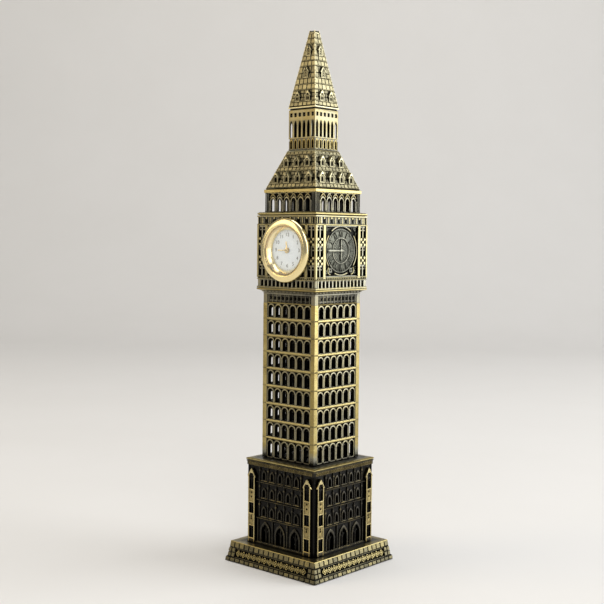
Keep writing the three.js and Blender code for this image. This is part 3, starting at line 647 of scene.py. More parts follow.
def podium_casting():
    """Three tiers of small blind windows over three large ones, between the corner pilasters."""
    c = Casting(PODIUM_HALF)
    z0, z1 = PODIUM_Z
    edge = PODIUM_HALF + 0.05
    small = [(x, z) for z in (22.6, 30.6, 38.0) for x in (-9.2, -4.6, 0, 4.6, 9.2)]
    large = (-8.4, 0, 8.4)
    spring, apex = 13.8, 17.6
    holes = [pointed_arch(x, 1.0, z - 1.9, z + 0.2, z + 1.9) for x, z in small]
    holes += [pointed_arch(x, 2.35, z0 + 1.0, spring, apex, 7) for x in large]
    c.plate(rect(-edge, edge, z0, z1), -2, -1.45, rub=0.0)
    c.plate([rect(-edge, edge, z0, z1)] + holes, -1.6, -0.35, rub=0.14, side=0.03)
    rims = []
    for x, z in small:
        rims += [pointed_arch(x, 1.42, z - 1.95, z + 0.2, z + 2.4),
                 pointed_arch(x, 0.98, z - 2.4, z + 0.2, z + 1.85)]
        c.post(x, 0.14, z - 1.9, z + 1.5, -1.5, -0.6, rub=0.42)
        c.post(x, 1.75, z - 2.5, z - 2.05, -0.5, 0.12, rub=0.6)
    for x in large:
        rims += [pointed_arch(x, 3.0, z0 + 0.4, spring, apex + 1.0, 7),
                 pointed_arch(x, 2.33, z0 + 0.2, spring, apex - 0.05, 7)]
        c.post(x, 0.2, z0, 16.5, -1.5, -0.6, rub=0.4)
        for at in (x - 1.2, x + 1.2):
            light = [pointed_arch(at, 1.1, z0 + 0.5, 13.0, 15.2),
                     pointed_arch(at, 0.85, z0 + 0.2, 13.0, 14.8)]
            c.plate(light, -1.5, -0.75, rub=0.36)
    c.plate(rims, -0.5, 0.02, side=0.1, bevel=0.14)
    for low, high in ((20.1, 27.2), (27.9, 34.8), (35.4, 41.8)):
        for x in (-11.7, -6.9, -2.3, 2.3, 6.9, 11.7):
            c.post(x, 0.24, low, high, -0.5, 0.1)
            c.plate(foils(x, high - 1.6, 0.52, 4, 4, 45), -0.5, 0.16, rub=0.55)
    for x in (-12.6, -4.2, 4.2, 12.6):
        c.post(x, 0.3, z0, 19.4, -0.5, 0.15, rub=0.48)
    for z in (19.7, 27.5, 35.1):
        c.course(14, [(-1, z - 0.45), (0.1, z - 0.4), (0.34, z - 0.1), (0.34, z + 0.12), (-0.1, z + 0.42),
                      (-1, z + 0.45)], rub=0.56)
    c.course(14, [(-1, z0), (0.5, z0), (0.5, z0 + 0.6), (0.1, z0 + 1.0), (-1, z0 + 1.0)], rub=0.6)
    for side in (-1, 1):
        for x in (17.95, 18.5):
            c.shaft(side * x, -0.25, [(0.2, z0), (0.2, z1)], rub=0.3, sides=8)
        pilaster(c, side * 15.75)
    drops = [pointed_arch(x, 0.36, 41.95, 42.5, 43.0, 3) for x in np.arange(-17.5, 17.6, 1.25)]
    c.plate([rect(-edge, edge, 41.7, z1)] + drops, -0.5, 0.2, rub=0.45, side=0.0)
    for x in np.arange(-27, 28) * 0.66:
        c.post(x, 0.14, 41.8, 43.2, -0.3, 0.36, rub=0.74, bevel=0.07)
    c.course(PODIUM_HALF + 0.3, [(-1, 43.15), (0.2, 43.15), (0.3, 43.3), (0.3, z1), (-1, z1)], rub=0.55)
    return c


four_walls("podium", podium_casting(), "dark_brass")
ledge("podium_cap_moulding", "podium_cap", CAP_FOOT,
      [(0.6, 0), (0.2, 0.1), (0, 0.3), (0, 0.6), (0.15, 0.75), (0.6, 0.9)], rub=0.84)


# ------------------------------------------------------------------ base
def base_half(z):
    """Half width of the battered base at a height."""
    return BASE_HALF - 2.1 * z / BASE_Z[1]


def base_casting():
    """Battered side: two courses of bricks, and a sunk band of quatrefoils and lozenges between them."""
    c = Casting()
    at = c.on_slope(base_half(BASE_Z[0]), base_half(BASE_Z[1]), *BASE_Z)
    length = at(BASE_Z[1])
    for low, high, back, front, rub in ((0, at(2.2), -1.3, -0.32, 0.1),
                                        (at(2.0), at(6.2), -1.5, -0.95, 0.06),
                                        (at(6.0), length, -1.5, -0.32, 0.1)):
        c.plate(rect(-26.2, 26.2, low, high), back, front, rub=rub)
    pitch = 2.84
    for low, high, shift in ((0.0, at(2.0), 0.0), (at(6.15), length, 0.5)):
        for i in range(-10, 10):
            x = (i + shift) * pitch
            lift = rng.uniform(-0.07, 0.0)
            c.bar(x + 0.13, x + pitch - 0.13, low + 0.06, high - 0.1, -0.8, lift,
                  rub=0.48 + rng.uniform(-0.1, 0.1), side=0.15, bevel=0.3)
    for x in (-21.7, -23.8, 21.7, 23.8):
        for low, high in ((2.25, 4.0), (4.2, 5.95)):
            c.post(x, 0.9, at(low), at(high), -1.2, -0.3, rub=0.45, bevel=0.25)
    for low, high in ((2.15, 2.45), (5.75, 6.05)):
        c.bar(-20.2, 20.2, at(low), at(high), -1.2, -0.35, rub=0.42)
    centre = (at(2.45) + at(5.75)) / 2
    for i in range(-6, 7):
        x = i * 3.1
        c.plate([foils(x, centre, 1.35, 4, 5), foils(x, centre, 0.85, 4, 5)], -1.2, -0.3, rub=0.68,
                bevel=0.14)
        c.plate(foils(x, centre, 0.42, 4, 4, 45), -1.2, -0.3, rub=0.68, bevel=0.12)
        if i < 6:
            c.plate([(x + 1.55, centre - 1.4), (x + 1.95, centre), (x + 1.55, centre + 1.4),
                     (x + 1.15, centre)], -1.2, -0.4, rub=0.66, bevel=0.12)
    return c


def base_slabs():
    """Level layers inside the battered sides, open below for the felt and bored for the screws."""
    layers = []
    for low, high, bore in ((1.5, 3.5, 3.15), (3.45, BASE_Z[1] - 0.02, 1.7)):
        inside = base_half(high) - 1.2
        bores = [circle(x, y, bore, 20) for x in (-13, 13) for y in (-13, 13)]
        layer = Casting()
        layer.slab([rect(-inside, inside, -inside, inside)] + bores, low, high, rub=0.3)
        layers.append(layer.mesh("base_layer"))
    return layers


def base_edges():
    """Mouldings along the top and the foot of one side."""
    z0, z1 = BASE_Z
    top, foot = Casting(base_half(z1)), Casting(base_half(z0))
    top.course(top.plane, [(-3, z1 - 0.5), (-0.3, z1 - 0.5), (0, z1 - 0.3), (-0.1, z1), (-3, z1)],
               rub=0.72, side=0.4)
    foot.course(foot.plane, [(-2.2, z0), (-0.5, z0), (base_half(1.7) - foot.plane - 0.5, 1.7),
                             (-2.2, 1.7)], rub=0.2)
    return [top.mesh("base_top", 0.0), foot.mesh("base_foot", 0.0)]


def base():
    layers = base_slabs()
    sides = joined("base_sides", [base_casting().mesh("base_side", 0.0)] + base_edges(), range(4))
    piece("base_brickwork", joined("base_brickwork", [sides] + layers), "antique_brass", ["base_plinth"],
          BASE_BRASS)


base()


# ------------------------------------------------------------------ clock stage
STAGE = 15.5                    # flat of the clock stage's walls
PROUD = STAGE_HALF - STAGE      # how far the mouldings stand out from the flat
SEAT = 12.0                     # radius of the opening for the clock
BAND = 121.0, 122.4             # band of beads below the dial
BAY_HEAD = 143.5                # top of the dial's panel and of the bays beside it
ROMAN = ["XII", "I", "II", "III", "IIII", "V", "VI", "VII", "VIII", "IX", "X", "XI"]
STROKES = {"I": (0.62, [(0.5, 0.5)]), "V": (1.25, [(0.12, 0.5), (0.88, 0.5)]),
           "X": (1.35, [(0.1, 0.9), (0.9, 0.1)])}


def leaf_row(side):
    """Row of leaves under the moulding that carries the clock stage."""
    foot = DECK_FOOT
    for i in range(15):
        side.plate(pointed_arch(-14 + 2 * i, 0.55, foot + 0.25, foot + 0.7, foot + 1.2), 14.4, 15.35,
                   rub=0.55)


ledge("clock_stage_cove", "clock_stage_deck", DECK_FOOT,
      [(2.1, 0), (1.85, 0.15), (1.5, 0.55), (0.8, 0.95), (0.25, 1.1), (0, 1.25), (0, 1.65), (0.2, 1.9)],
      rub=0.7, extra=leaf_row)


def stage_frame(c, opening=None):
    """Wall of the clock stage without its dial: slots, bands, side bays and a frieze of quatrefoils."""
    z0, z1 = CLOCK_Z
    edge = STAGE_HALF + 0.05
    hole = [circle(0, DIAL_Z, opening, 64)] if opening else []
    c.plate([rect(-STAGE, STAGE, z0, z1)] + hole, -1.6, -0.2, rub=-0.2, side=-0.2)
    for side in (-1, 1):
        c.bar(side * 15.1, side * 15.75, z0, z1, -0.5, 0.25, rub=-0.2, side=-0.2)
    slots = [pointed_arch(x, 0.72, z0 + 0.7, 119.8, 120.8, 4) for x in np.arange(-6, 7) * 2.28]
    c.plate([rect(-edge, edge, z0, BAND[0] + 0.2)] + slots, -0.5, PROUD - 0.35, rub=0.66, side=-0.1)
    for x in np.arange(-6.5, 7) * 2.28:
        c.post(x, 0.4, z0 + 0.5, BAND[0], 0, PROUD - 0.12, rub=0.62, side=-0.1)
    c.course(edge, [(-0.5, z0), (PROUD, z0), (PROUD, z0 + 0.45), (PROUD - 0.3, z0 + 0.7),
                    (-0.5, z0 + 0.7)], rub=0.74)
    c.bar(-edge, edge, *BAND, -0.5, PROUD - 0.3, rub=0.3)
    for z in (BAND[0] + 0.1, BAND[1] - 0.15):
        c.course(edge, [(-0.5, z - 0.2), (PROUD - 0.1, z - 0.2), (PROUD, z - 0.05), (PROUD, z + 0.05),
                        (PROUD - 0.1, z + 0.18), (-0.5, z + 0.18)], rub=0.76)
    for x in np.arange(-14, 15) * 1.14:
        c.plate(circle(x, 121.68, 0.27, 8), PROUD - 0.5, PROUD - 0.06, rub=0.85, bevel=0.12)
    for side in (-1, 1):
        for x0, x1 in ((10.4, 11.9), (15.65, edge)):
            c.bar(side * x0, side * x1, BAND[0] + 0.6, BAY_HEAD + 0.5, -0.5, PROUD, rub=0.8, bevel=0.12)
        side_bay(c, side * (11.9 + 15.65) / 2)
    top = BAY_HEAD + 0.7
    c.course(edge, [(-0.5, BAY_HEAD), (PROUD - 0.15, BAY_HEAD), (PROUD, top - 0.5), (PROUD, top - 0.2),
                    (PROUD - 0.3, top), (-0.5, top)])
    panels = np.arange(-2.5, 3) * 4.52
    frieze = top, 146.9, PROUD - 0.5
    eyes = [foils(x, 145.2, 0.85, 4, 5, 45) for x in panels]
    c.plate([rect(-edge, edge, top - 0.1, 147.0)] + eyes, -0.5, PROUD - 0.35, rub=0.34, side=0.04)
    for x in panels:
        c.plate(pointed_arch(x, 0.5, 146.15, 146.5, 146.9, 3), PROUD - 0.5, PROUD - 0.02, rub=0.85)
        for dx in (-1.35, 1.35):
            c.post(x + dx, 0.22, *frieze, PROUD - 0.1, rub=0.6)
    for x in np.arange(-3, 4) * 4.52:
        c.post(x, 0.3, *frieze, PROUD, rub=0.74)
    for side in (-1, 1):
        for x in (13.2, 14.4, 15.9):
            c.post(side * x, 0.22, *frieze, PROUD - 0.02, rub=0.74)
    c.course(edge, [(-0.5, 146.9), (PROUD - 0.2, 146.9), (PROUD, 147.1), (PROUD, z1 + JOINT),
                    (-0.5, z1 + JOINT)], rub=0.7)


def side_bay(c, middle):
    """Narrow bay beside the dial: paired lancets between two bands of lattice."""
    for low, high in ((BAND[1], 127.3), (130.8, 135.2), (138.3, BAY_HEAD)):
        c.post(middle, 0.36, low, high, -0.5, PROUD - 0.2, rub=0.62, side=-0.1, bevel=0.16)
        for x in (middle - 0.95, middle + 0.95):
            c.plate([rect(x - 0.9, x + 0.9, high - 1.7, high),
                     pointed_arch(x, 0.66, high - 2.0, high - 1.3, high - 0.4, 4)], -0.5, PROUD - 0.4,
                    rub=0.6, side=-0.1)
    for centre in (129.05, 136.75):
        corners = [(middle + 1.15 * sx, centre + 1.15 * sz) for sx in (-1, 1) for sz in (-1, 1)]
        for ends in ((corners[0], corners[3]), (corners[1], corners[2])):
            c.plate(ribbon(ends, 0.3), -0.4, PROUD - 0.4, rub=0.62, side=-0.1)
        for x, z in corners + [(middle, centre)]:
            c.plate(foils(x, z, 0.5, 4, 4), -0.4, PROUD - 0.08, rub=0.92, side=0.0, bevel=0.16)


def roman(c, text, angle, r0, r1, back, front):
    """Raised numeral set radially, feet inwards. STROKES gives each letter's width, and where each of its
    strokes ends across that width: at the top, then at the foot."""
    x = -sum(STROKES[letter][0] for letter in text) / 2
    turn = math.radians(90 - angle)
    radial = np.array([math.cos(turn), math.sin(turn)])
    across = np.array([math.sin(turn), -math.cos(turn)])
    count = 0
    for letter in text:
        width, strokes = STROKES[letter]
        for top, foot in strokes:
            ends = [radial * r + across * (x + width * t) + (0, DIAL_Z)
                    for r, t in ((r0, foot), (r1, top))]
            c.plate(ribbon(ends, 0.3), back, front - 0.01 * (count % 3), rub=0.42, bevel=0.06)
            count += 1
        x += width


def outward(sx, sz):
    """Angle of the diagonal towards the corner at (sx, sz)."""
    return math.degrees(math.atan2(sz, sx))


def relief_dial(c):
    """Dial in relief: rings, numerals, rays and hands, with ornament in the four spandrels."""
    centre = 0, DIAL_Z
    back = -0.3
    c.plate(circle(*centre, 9.1, 72), back, 0.12, rub=0.4, side=-0.1)
    for outer, inner, front, rub in ((9.08, 8.75, 0.3, 0.48), (5.42, 5.06, 0.45, 0.5),
                                     (4.75, 4.6, 0.24, 0.46), (1.75, 1.4, 0.3, 0.48)):
        c.plate([circle(*centre, outer, 64), circle(*centre, inner, 64)], back, front, rub=rub, bevel=0.06)
    for i, text in enumerate(ROMAN):
        roman(c, text, 30 * i, 5.95, 8.45, back, 0.46)
        c.plate(circle(*polar(*centre, 8.3, 30 * i + 15), 0.24, 8), back, 0.34, rub=0.42, bevel=0.08)
    for angle in range(0, 360, 15):
        ray = [polar(*centre, 1.6, angle), polar(*centre, 4.65, angle)]
        c.plate(ribbon(ray, 0.16), back, 0.22, rub=0.34, bevel=0.05)
    c.plate([(-8.8, DIAL_Z), (-7.6, DIAL_Z + 0.5), (-1.0, DIAL_Z + 0.36), (1.9, DIAL_Z + 0.3),
             (1.9, DIAL_Z - 0.3), (-1.0, DIAL_Z - 0.36), (-7.6, DIAL_Z - 0.5)], back, 0.72, bevel=0.14)
    c.plate([(0, DIAL_Z + 4.9), (0.3, DIAL_Z + 4.0), (0.34, DIAL_Z - 3.4), (0, DIAL_Z - 4.3),
             (-0.34, DIAL_Z - 3.4), (-0.3, DIAL_Z + 4.0)], back, 0.62, bevel=0.12)
    c.plate(circle(*centre, 0.8, 20), back, 0.85, rub=0.52, bevel=0.2)
    for start, end in ((-38, 38), (52, 128), (142, 218), (246, 294)):
        c.plate(ribbon(arc(*centre, 10.12, start, end, (end - start) // 6), 0.44), back, 0.55, rub=0.7,
                side=0.1)
    for sx in (-1, 1):
        x, z = sx * 6.6, DIAL_Z - 8.1
        start = 135 if sx < 0 else -90
        c.plate(ribbon(arc(x, z, 1.75, start, start + 135, 10), 0.42), back, 0.5, rub=0.78, bevel=0.12)
        c.plate([foils(x, z, 1.2, 4, 5, 45), circle(x, z, 0.4, 8)], back, 0.36, rub=0.42)
        for sz in (-1, 1):
            x, z = sx * 8.9, DIAL_Z + sz * 8.9
            c.plate([foils(x, z, 0.95, 3, 6, outward(sx, sz)), circle(x, z, 0.28, 8)], back, 0.3, rub=0.4)
            for over, up, r in ((7.1, 9.6, 0.5), (9.7, 7.0, 0.45)):
                curl = arc(sx * over, DIAL_Z + sz * up, r, 0, 300)
                c.plate(ribbon(curl, 0.22), back, 0.26, rub=0.4, bevel=0.07)
    for z0, z1 in ((BAY_HEAD - 0.45, BAY_HEAD + 0.1), (BAND[1] - 0.1, BAND[1] + 0.45)):
        c.bar(-10.3, 10.3, z0, z1, back, 0.6, rub=0.6)


def clock_stage():
    """Three walls with a relief dial, and the front one with the seat for the clock."""
    plain, seat = Casting(STAGE), Casting(STAGE)
    stage_frame(plain)
    relief_dial(plain)
    relief = plain.mesh("clock_stage_relief", MITRE)
    stage_frame(seat, SEAT)
    seat.plate([circle(0, DIAL_Z, 13.38, 64), circle(0, DIAL_Z, SEAT, 64)], -0.5, PROUD - 0.01)
    for sx in (-1, 1):
        for sz in (-1, 1):
            seat.plate(foils(sx * 9.0, DIAL_Z + sz * 9.2, 1.0, 3, 6, outward(sx, sz)), -0.5, 0.5, rub=0.6)
    piece("clock_stage_seat_front", seat.mesh("clock_stage_seat", MITRE), "antique_brass",
          ["clock_stage_wall_front"], GUNMETAL)
    for turn, side in list(enumerate(SIDES))[1:]:
        piece(f"clock_stage_relief_{side}", relief, "antique_brass", [f"clock_stage_wall_{side}"],
              GUNMETAL, turn=turn)


clock_stage()
ledge("belfry_cornice", "belfry_deck", CORNICE_FOOT,
      [(1.0, 0), (0.5, 0.2), (0.1, 0.45), (0, 0.7), (0, 1.0), (0.35, 1.15), (0.6, 1.4)])


# ------------------------------------------------------------------ belfry
def belfry_casting():
    """Six pointed openings between colonnettes, under interlaced arches and a cresting."""
    c = Casting(BELFRY_HALF)
    z0, z1 = BELFRY_Z
    half = BELFRY_HALF
    xs = [-9.75, -5.85, -1.95, 1.95, 5.85, 9.75]
    spring, apex, cresting = 153.4, 155.0, 157.1
    holes = [pointed_arch(x, 1.35, 149.4, spring, apex, 6) for x in xs]
    c.plate([rect(-half, half, z0, z1)] + holes, -1.3, -0.55, rub=0.1, side=-0.1)
    rims = []
    for x in xs:
        rims += [pointed_arch(x, 1.68, z0 + 0.05, spring, apex + 0.5, 6),
                 pointed_arch(x, 1.36, z0 - 0.2, spring, apex, 6)]
    c.plate(rims, -0.7, -0.12, rub=0.52, side=0.05, bevel=0.12)
    for x in (-11.7, -7.8, -3.9, 0, 3.9, 7.8, 11.7):
        c.shaft(x, -0.22, [(0.44, z0), (0.44, z0 + 0.5), (0.28, z0 + 0.75), (0.28, spring - 0.4),
                           (0.42, spring - 0.1), (0.42, spring + 0.2), (0.3, spring + 0.4)], rub=0.56)
        reach = math.degrees(math.acos(min(1.0, (12.0 - abs(x)) / 3.9)))
        low = max(26, reach if x > 0 else 26)
        high = min(154, 180 - reach if x < 0 else 154)
        c.plate(ribbon(arc(x, spring - 0.2, 3.9, low, high, 12), 0.36), -0.7, -0.02, rub=0.62)
        c.plate([(x - 0.7, cresting + 0.15), (x + 0.7, cresting + 0.15), (x, cresting - 1.2)], -0.6, -0.2,
                rub=0.2)
    for x in xs:
        c.plate([foils(x, apex + 1.2, 0.62, 3, 5, 90), circle(x, apex + 1.2, 0.24, 8)], -0.7, -0.1,
                rub=0.6)
    for side in (-1, 1):
        for x in (12.35, 13.1, 13.9):
            c.shaft(side * x, -0.2, [(0.32, z0), (0.32, z0 + 0.4), (0.22, z0 + 0.6),
                                     (0.22, cresting - 0.3), (0.34, cresting + 0.1)], rub=0.56, sides=8)
    high = cresting + 1.4
    c.course(half + 0.2, [(-1, cresting), (0, cresting), (0.2, cresting + 0.2), (0.2, high - 0.15),
                          (0.05, high), (-1, high)], rub=0.86)
    c.course(half - 0.4, [(-1, high - 0.1), (-0.4, high - 0.1), (-0.4, z1 + JOINT), (-1, z1 + JOINT)],
             rub=0.0)
    for x in np.arange(-20, 21) * 0.7:
        c.post(x, 0.12, cresting + 0.4, high - 0.3, -0.2, 0.19, rub=0.66, side=0.5, bevel=0.04)
    return c


four_walls("belfry", belfry_casting(), "antique_brass")


# ------------------------------------------------------------------ roofs and lantern
TILE = 2.3                      # width of a tile, about


def tiles(c, half, s0, s1, rub):
    """One course of tiles across the slope, which is half wide at s0."""
    step = 2 * half / max(1, round(2 * half / TILE))
    for i in range(round(2 * half / step)):
        x = -half + i * step
        c.bar(x + 0.13, x + step - 0.13, s0 + 0.1, s1 - 0.1, -0.5, rng.uniform(-0.06, 0.03),
              rub=rub + rng.uniform(-0.06, 0.06), side=0.0, bevel=0.13)


def dormer(c, x, foot, half, height, out, back, eyes):
    """Gabled dormer with an upright front at out, running back into the slope."""
    eaves, apex = foot + 0.55 * height, foot + height
    knee = (eaves + apex) / 2
    c.plate(gable(x, half, foot, eaves, apex - 0.15), back, out - 0.55, rub=0.1, side=0.05)
    c.plate([gable(x, half + 0.05, foot, eaves, apex - 0.1)] + eyes, back, out - 0.1, side=0.06)
    c.plate(ribbon([(x - half - 0.3, eaves - 0.35), (x - half / 2, knee), (x, apex + 0.05),
                    (x + half / 2, knee), (x + half + 0.3, eaves - 0.35)], 0.42), back + 0.3, out + 0.1,
            rub=0.95, side=0.45, bevel=0.12)
    for at in (x - half, x + half):
        c.post(at, 0.16, foot, eaves - 0.2, back, out + 0.04, rub=0.8)
    c.post(x, half + 0.2, foot - 0.25, foot + 0.12, back, out + 0.1, rub=0.8)


def hip_rib(c, half0, half1, z0, z1, size, knobs):
    """Ridge along the left-hand hip of a leaning face, with small knobs up it."""
    low, high = np.array([-half0, half0, z0]), np.array([-half1, half1, z1])
    out, flat = np.array([-1, 1, 0]) / math.sqrt(2), np.array([1, 1, 0]) / math.sqrt(2)
    up = np.array([0, 0, 1])
    ring = [out * size, flat * size, -out * size * 1.6, -flat * size]
    c.add([p + r for p in (low, high) for r in ring], [(3, 2, 1, 0), (4, 5, 6, 7)] + lofted(2, 4),
          [0.95, 0.5, 0.1, 0.5] * 2)
    for k in range(knobs):
        centre = low + (high - low) * (k + 0.5) / knobs + out * size * 0.4
        points = [centre + way * size * 1.25 for way in (out, flat, -out, -flat, up * 1.3, -up)]
        c.add(points, [(i, (i + 1) % 4, 4) for i in range(4)] + [((i + 1) % 4, i, 5) for i in range(4)],
              0.9)


def leaning_stage(name, node, halves, heights, courses, rolls, dormers, knobs, rings):
    """Roof of four equal leaning faces: courses are (low, high, rub) rows of tiles, rolls are heights,
    dormers are (places across, foot, half width, height, eyes), and rings are (sections, rub) level
    mouldings."""
    (half0, half1), (z0, z1) = halves, heights
    c = Casting()
    at = c.on_slope(half0, half1, z0, z1)
    half_at = lambda z: half0 + (half1 - half0) * (z - z0) / (z1 - z0)
    c.plate([(-half0, 0), (half0, 0), (half1, at(z1)), (-half1, at(z1))], -1.4, -0.3, rub=0.0)
    for low, high, rub in courses:
        tiles(c, half_at(low), at(low), at(high), rub)
    for z in rolls:
        c.post(0, half_at(z) + 0.1, at(z) - 0.14, at(z) + 0.14, -0.5, 0.18, rub=0.66, side=0.16)
    c.upright()
    for centres, foot, half, height, make_eyes in dormers:
        for x in centres:
            dormer(c, x, foot, half, height, half_at(foot) + 0.28, half_at(foot + height) - 0.7,
                   make_eyes(x, foot))
    hips = Casting()
    hip_rib(hips, half0 - 0.1, half1 - 0.1, z0, z1, 0.24, knobs)
    top = Casting()
    for sections, rub in rings:
        top.hipped(sections, rub)
    sides = joined(name, [c.mesh(name, 0.0), hips.mesh(name)], range(4))
    piece(name, joined(name, [sides, top.mesh(name)]), "roof_bronze", [node])


def roof_eyes(x, foot):
    return [pointed_arch(x, 0.6, foot + 0.4, foot + 1.6, foot + 2.3, 4), circle(x, foot + 3.1, 0.3, 8)]


def spire_eyes(x, foot):
    slits = [rect(at - 0.25, at + 0.25, foot + 0.6, foot + 1.6) for at in (x - 0.4, x + 0.4)]
    return slits + [circle(x, foot + 2.6, 0.32, 10)]


def three_eyes(x, foot):
    return [circle(x, foot + height, r, 8) for height, r in ((0.85, 0.26), (1.75, 0.26), (2.65, 0.24))]


def lower_roof():
    z0, z1 = ROOF_Z
    # painted shade: the rows of tiles beside the dormers get less rub than the open rows, so they are
    # coloured darker, as in the shade between the dormers
    courses = [(159.3, 160.9, 0.6), (161.1, 162.7, 0.46), (162.7, 164.4, 0.44), (164.4, 166.0, 0.5),
               (166.3, 167.8, 0.58), (168.0, 169.7, 0.46), (169.7, 171.4, 0.44), (171.4, 173.0, 0.5),
               (173.2, 174.4, 0.56)]
    dormers = [((-9.25, -3.1, 3.1, 9.25), 161.2, 1.4, 4.4, roof_eyes),
               ((-5.9, 0, 5.9), 168, 1.3, 4.2, roof_eyes)]
    eaves = [(12.4, z0), (13.9, z0), (14.15, z0 + 0.25), (13.8, z0 + 0.5), (12.4, z0 + 0.5)]
    top = [(6.0, z1 - 0.6), (7.7, z1 - 0.6), (7.85, z1 - 0.3), (7.6, z1), (6.0, z1)]
    leaning_stage("lower_roof_tiling", "lower_roof", (14.0, 7.55), (z0 + 0.1, z1), courses,
                  (161.0, 166.15, 167.9, 173.1), dormers, 9, [(eaves, 0.8), (top, 0.85)])


def spire():
    z0, z1 = SPIRE_Z
    # painted shade: the rows of tiles beside the dormers get less rub than the open rows, so they are
    # coloured darker, as in the shade around the dormers
    courses = [(193.3, 195.0, 0.62), (195.2, 196.8, 0.48), (196.8, 198.4, 0.46), (198.4, 199.9, 0.52),
               (200.1, 202.3, 0.62), (202.5, 204.8, 0.62), (205.0, 207.0, 0.52), (207.0, 209.8, 0.52),
               (210.0, 212.1, 0.62), (212.4, 214.3, 0.62), (214.5, 216.8, 0.52), (216.8, 219.2, 0.52),
               (219.5, 221.6, 0.62), (221.8, 223.7, 0.62)]
    dormers = [((-2.9, 2.9), 195.2, 1.1, 4.2, spire_eyes), ((0,), 205.2, 1.3, 4.4, three_eyes),
               ((0,), 214.4, 1.0, 4.2, three_eyes)]
    foot = [(6.4, z0), (7.4, z0), (7.55, z0 + 0.2), (7.5, z0 + 0.55), (7.2, z0 + 0.75), (6.4, z0 + 0.75)]
    tip = [(1.2, z1 - 1.3), (1.5, z1 - 1.3), (1.55, z1 - 0.9), (1.25, z1 - 0.45), (0.6, z1), (0.3, z1)]
    leaning_stage("spire_tiling", "spire", (7.45, 1.35), (z0 + 0.1, z1 - 0.05), courses,
                  (195.1, 200.0, 202.4, 204.9, 209.9, 212.25, 214.4, 219.35, 221.7), dormers, 16,
                  [(foot, 0.9), (tip, 0.8)])


lower_roof()
spire()


def lantern_casting():
    """Arcade of lancets over a blind arcade, under a row of square openings."""
    c = Casting(LANTERN_HALF)
    z0, z1 = LANTERN_Z
    half = LANTERN_HALF
    xs = [-6.0, -3.6, -1.2, 1.2, 3.6, 6.0]
    spring, apex = 177.9, 179.3
    niches = [pointed_arch(x, 0.7, z0 + 0.6, spring, apex, 4) for x in xs]
    lancets = [pointed_arch(x, 0.72, 180.3, 185.0, 187.3) for x in xs]
    squares = [rect(x - 0.55, x + 0.55, 188.8, 190.4) for x in xs]
    upper, lower = rect(-half, half, 179.9, z1 - 0.5), rect(-half, half, z0, 180.2)
    c.plate([upper] + lancets, -2.4, -0.75, rub=-0.3, side=-0.3)
    c.plate([upper] + lancets + squares, -0.85, -0.06, rub=0.6, side=-0.1)
    c.plate(lower, -1.2, -0.7, rub=0.36)
    c.plate([lower] + niches, -0.85, -0.3, side=0.1)
    for x in (-7.05, -4.8, -2.4, 0, 2.4, 4.8, 7.05):
        c.shaft(x, -0.26, [(0.34, z0), (0.34, z0 + 0.4), (0.24, z0 + 0.6), (0.24, spring + 0.3),
                           (0.32, spring + 0.6), (0.2, spring + 0.9)], rub=0.52, sides=8)
        c.shaft(x, -0.42, [(0.44, 180.1), (0.44, 180.6), (0.34, 180.8), (0.34, 184.9), (0.42, 185.1),
                           (0.42, 185.4), (0.3, 185.9)], rub=0.54)
        for dx in (-0.42, 0.42):
            c.post(x + dx, 0.07, 188.9, 190.3, -0.3, -0.02, bevel=0.03)
    for x in xs:
        c.post(x, 0.5, 189.5, 189.68, -0.6, -0.2, rub=0.3, bevel=0.05)
        rim = [pointed_arch(x, 0.98, z0 + 0.5, spring, apex + 0.45),
               pointed_arch(x, 0.68, z0 + 0.2, spring, apex)]
        c.plate(rim, -0.5, -0.14, rub=0.72, bevel=0.08)
    for low, high, rub in ((z0, z0 + 0.45, 0.5), (179.75, 180.25, 0.62), (z1 - 0.95, z1 - 0.5, 0.66)):
        c.course(half, [(-0.8, low), (-0.1, low), (0, low + 0.15), (0, high - 0.15), (-0.15, high),
                        (-0.8, high)], rub=rub)
    c.course(half - 0.45, [(-2, z1 - 0.6), (-0.45, z1 - 0.6), (-0.45, z1 + JOINT), (-2, z1 + JOINT)],
             rub=-0.3, side=-0.3)
    return c


piece("lantern_arcade", joined("lantern_arcade", [lantern_casting().mesh("lantern_side", 0.0)], range(4)),
      "antique_brass", ["lantern"])


# ------------------------------------------------------------------ press-in clock
LENS_BACK, LENS_FRONT = depths("lens")
LENS_RADIUS = half_width("lens")
SIGHT = 8.4                     # radius of the dial that the funnel leaves in sight
PRINT = 0.03                    # height of the dial's raised print


def turned(name, profile, sides):
    """Solid of revolution about the clock's axis: profile is (radius, depth towards the viewer)."""
    n = len(profile)
    points = []
    for i in range(sides):
        for r, depth in profile:
            x, z = polar(0, DIAL_Z, r, 360 * i / sides)
            points.append((x * MM, -depth * MM, z * MM))
    faces = [(i * n + k, i * n + (k + 1) % n, (i + 1) % sides * n + (k + 1) % n, (i + 1) % sides * n + k)
             for i in range(sides) for k in range(n)]
    mesh = bpy.data.meshes.new(name)
    mesh.from_pydata(points, [], faces)
    bm = bmesh.new()
    bm.from_mesh(mesh)
    bmesh.ops.remove_doubles(bm, verts=bm.verts, dist=1e-7)
    bmesh.ops.dissolve_degenerate(bm, edges=bm.edges, dist=1e-8)
    bmesh.ops.recalc_face_normals(bm, faces=bm.faces)
    return finished(bm, mesh, 32)


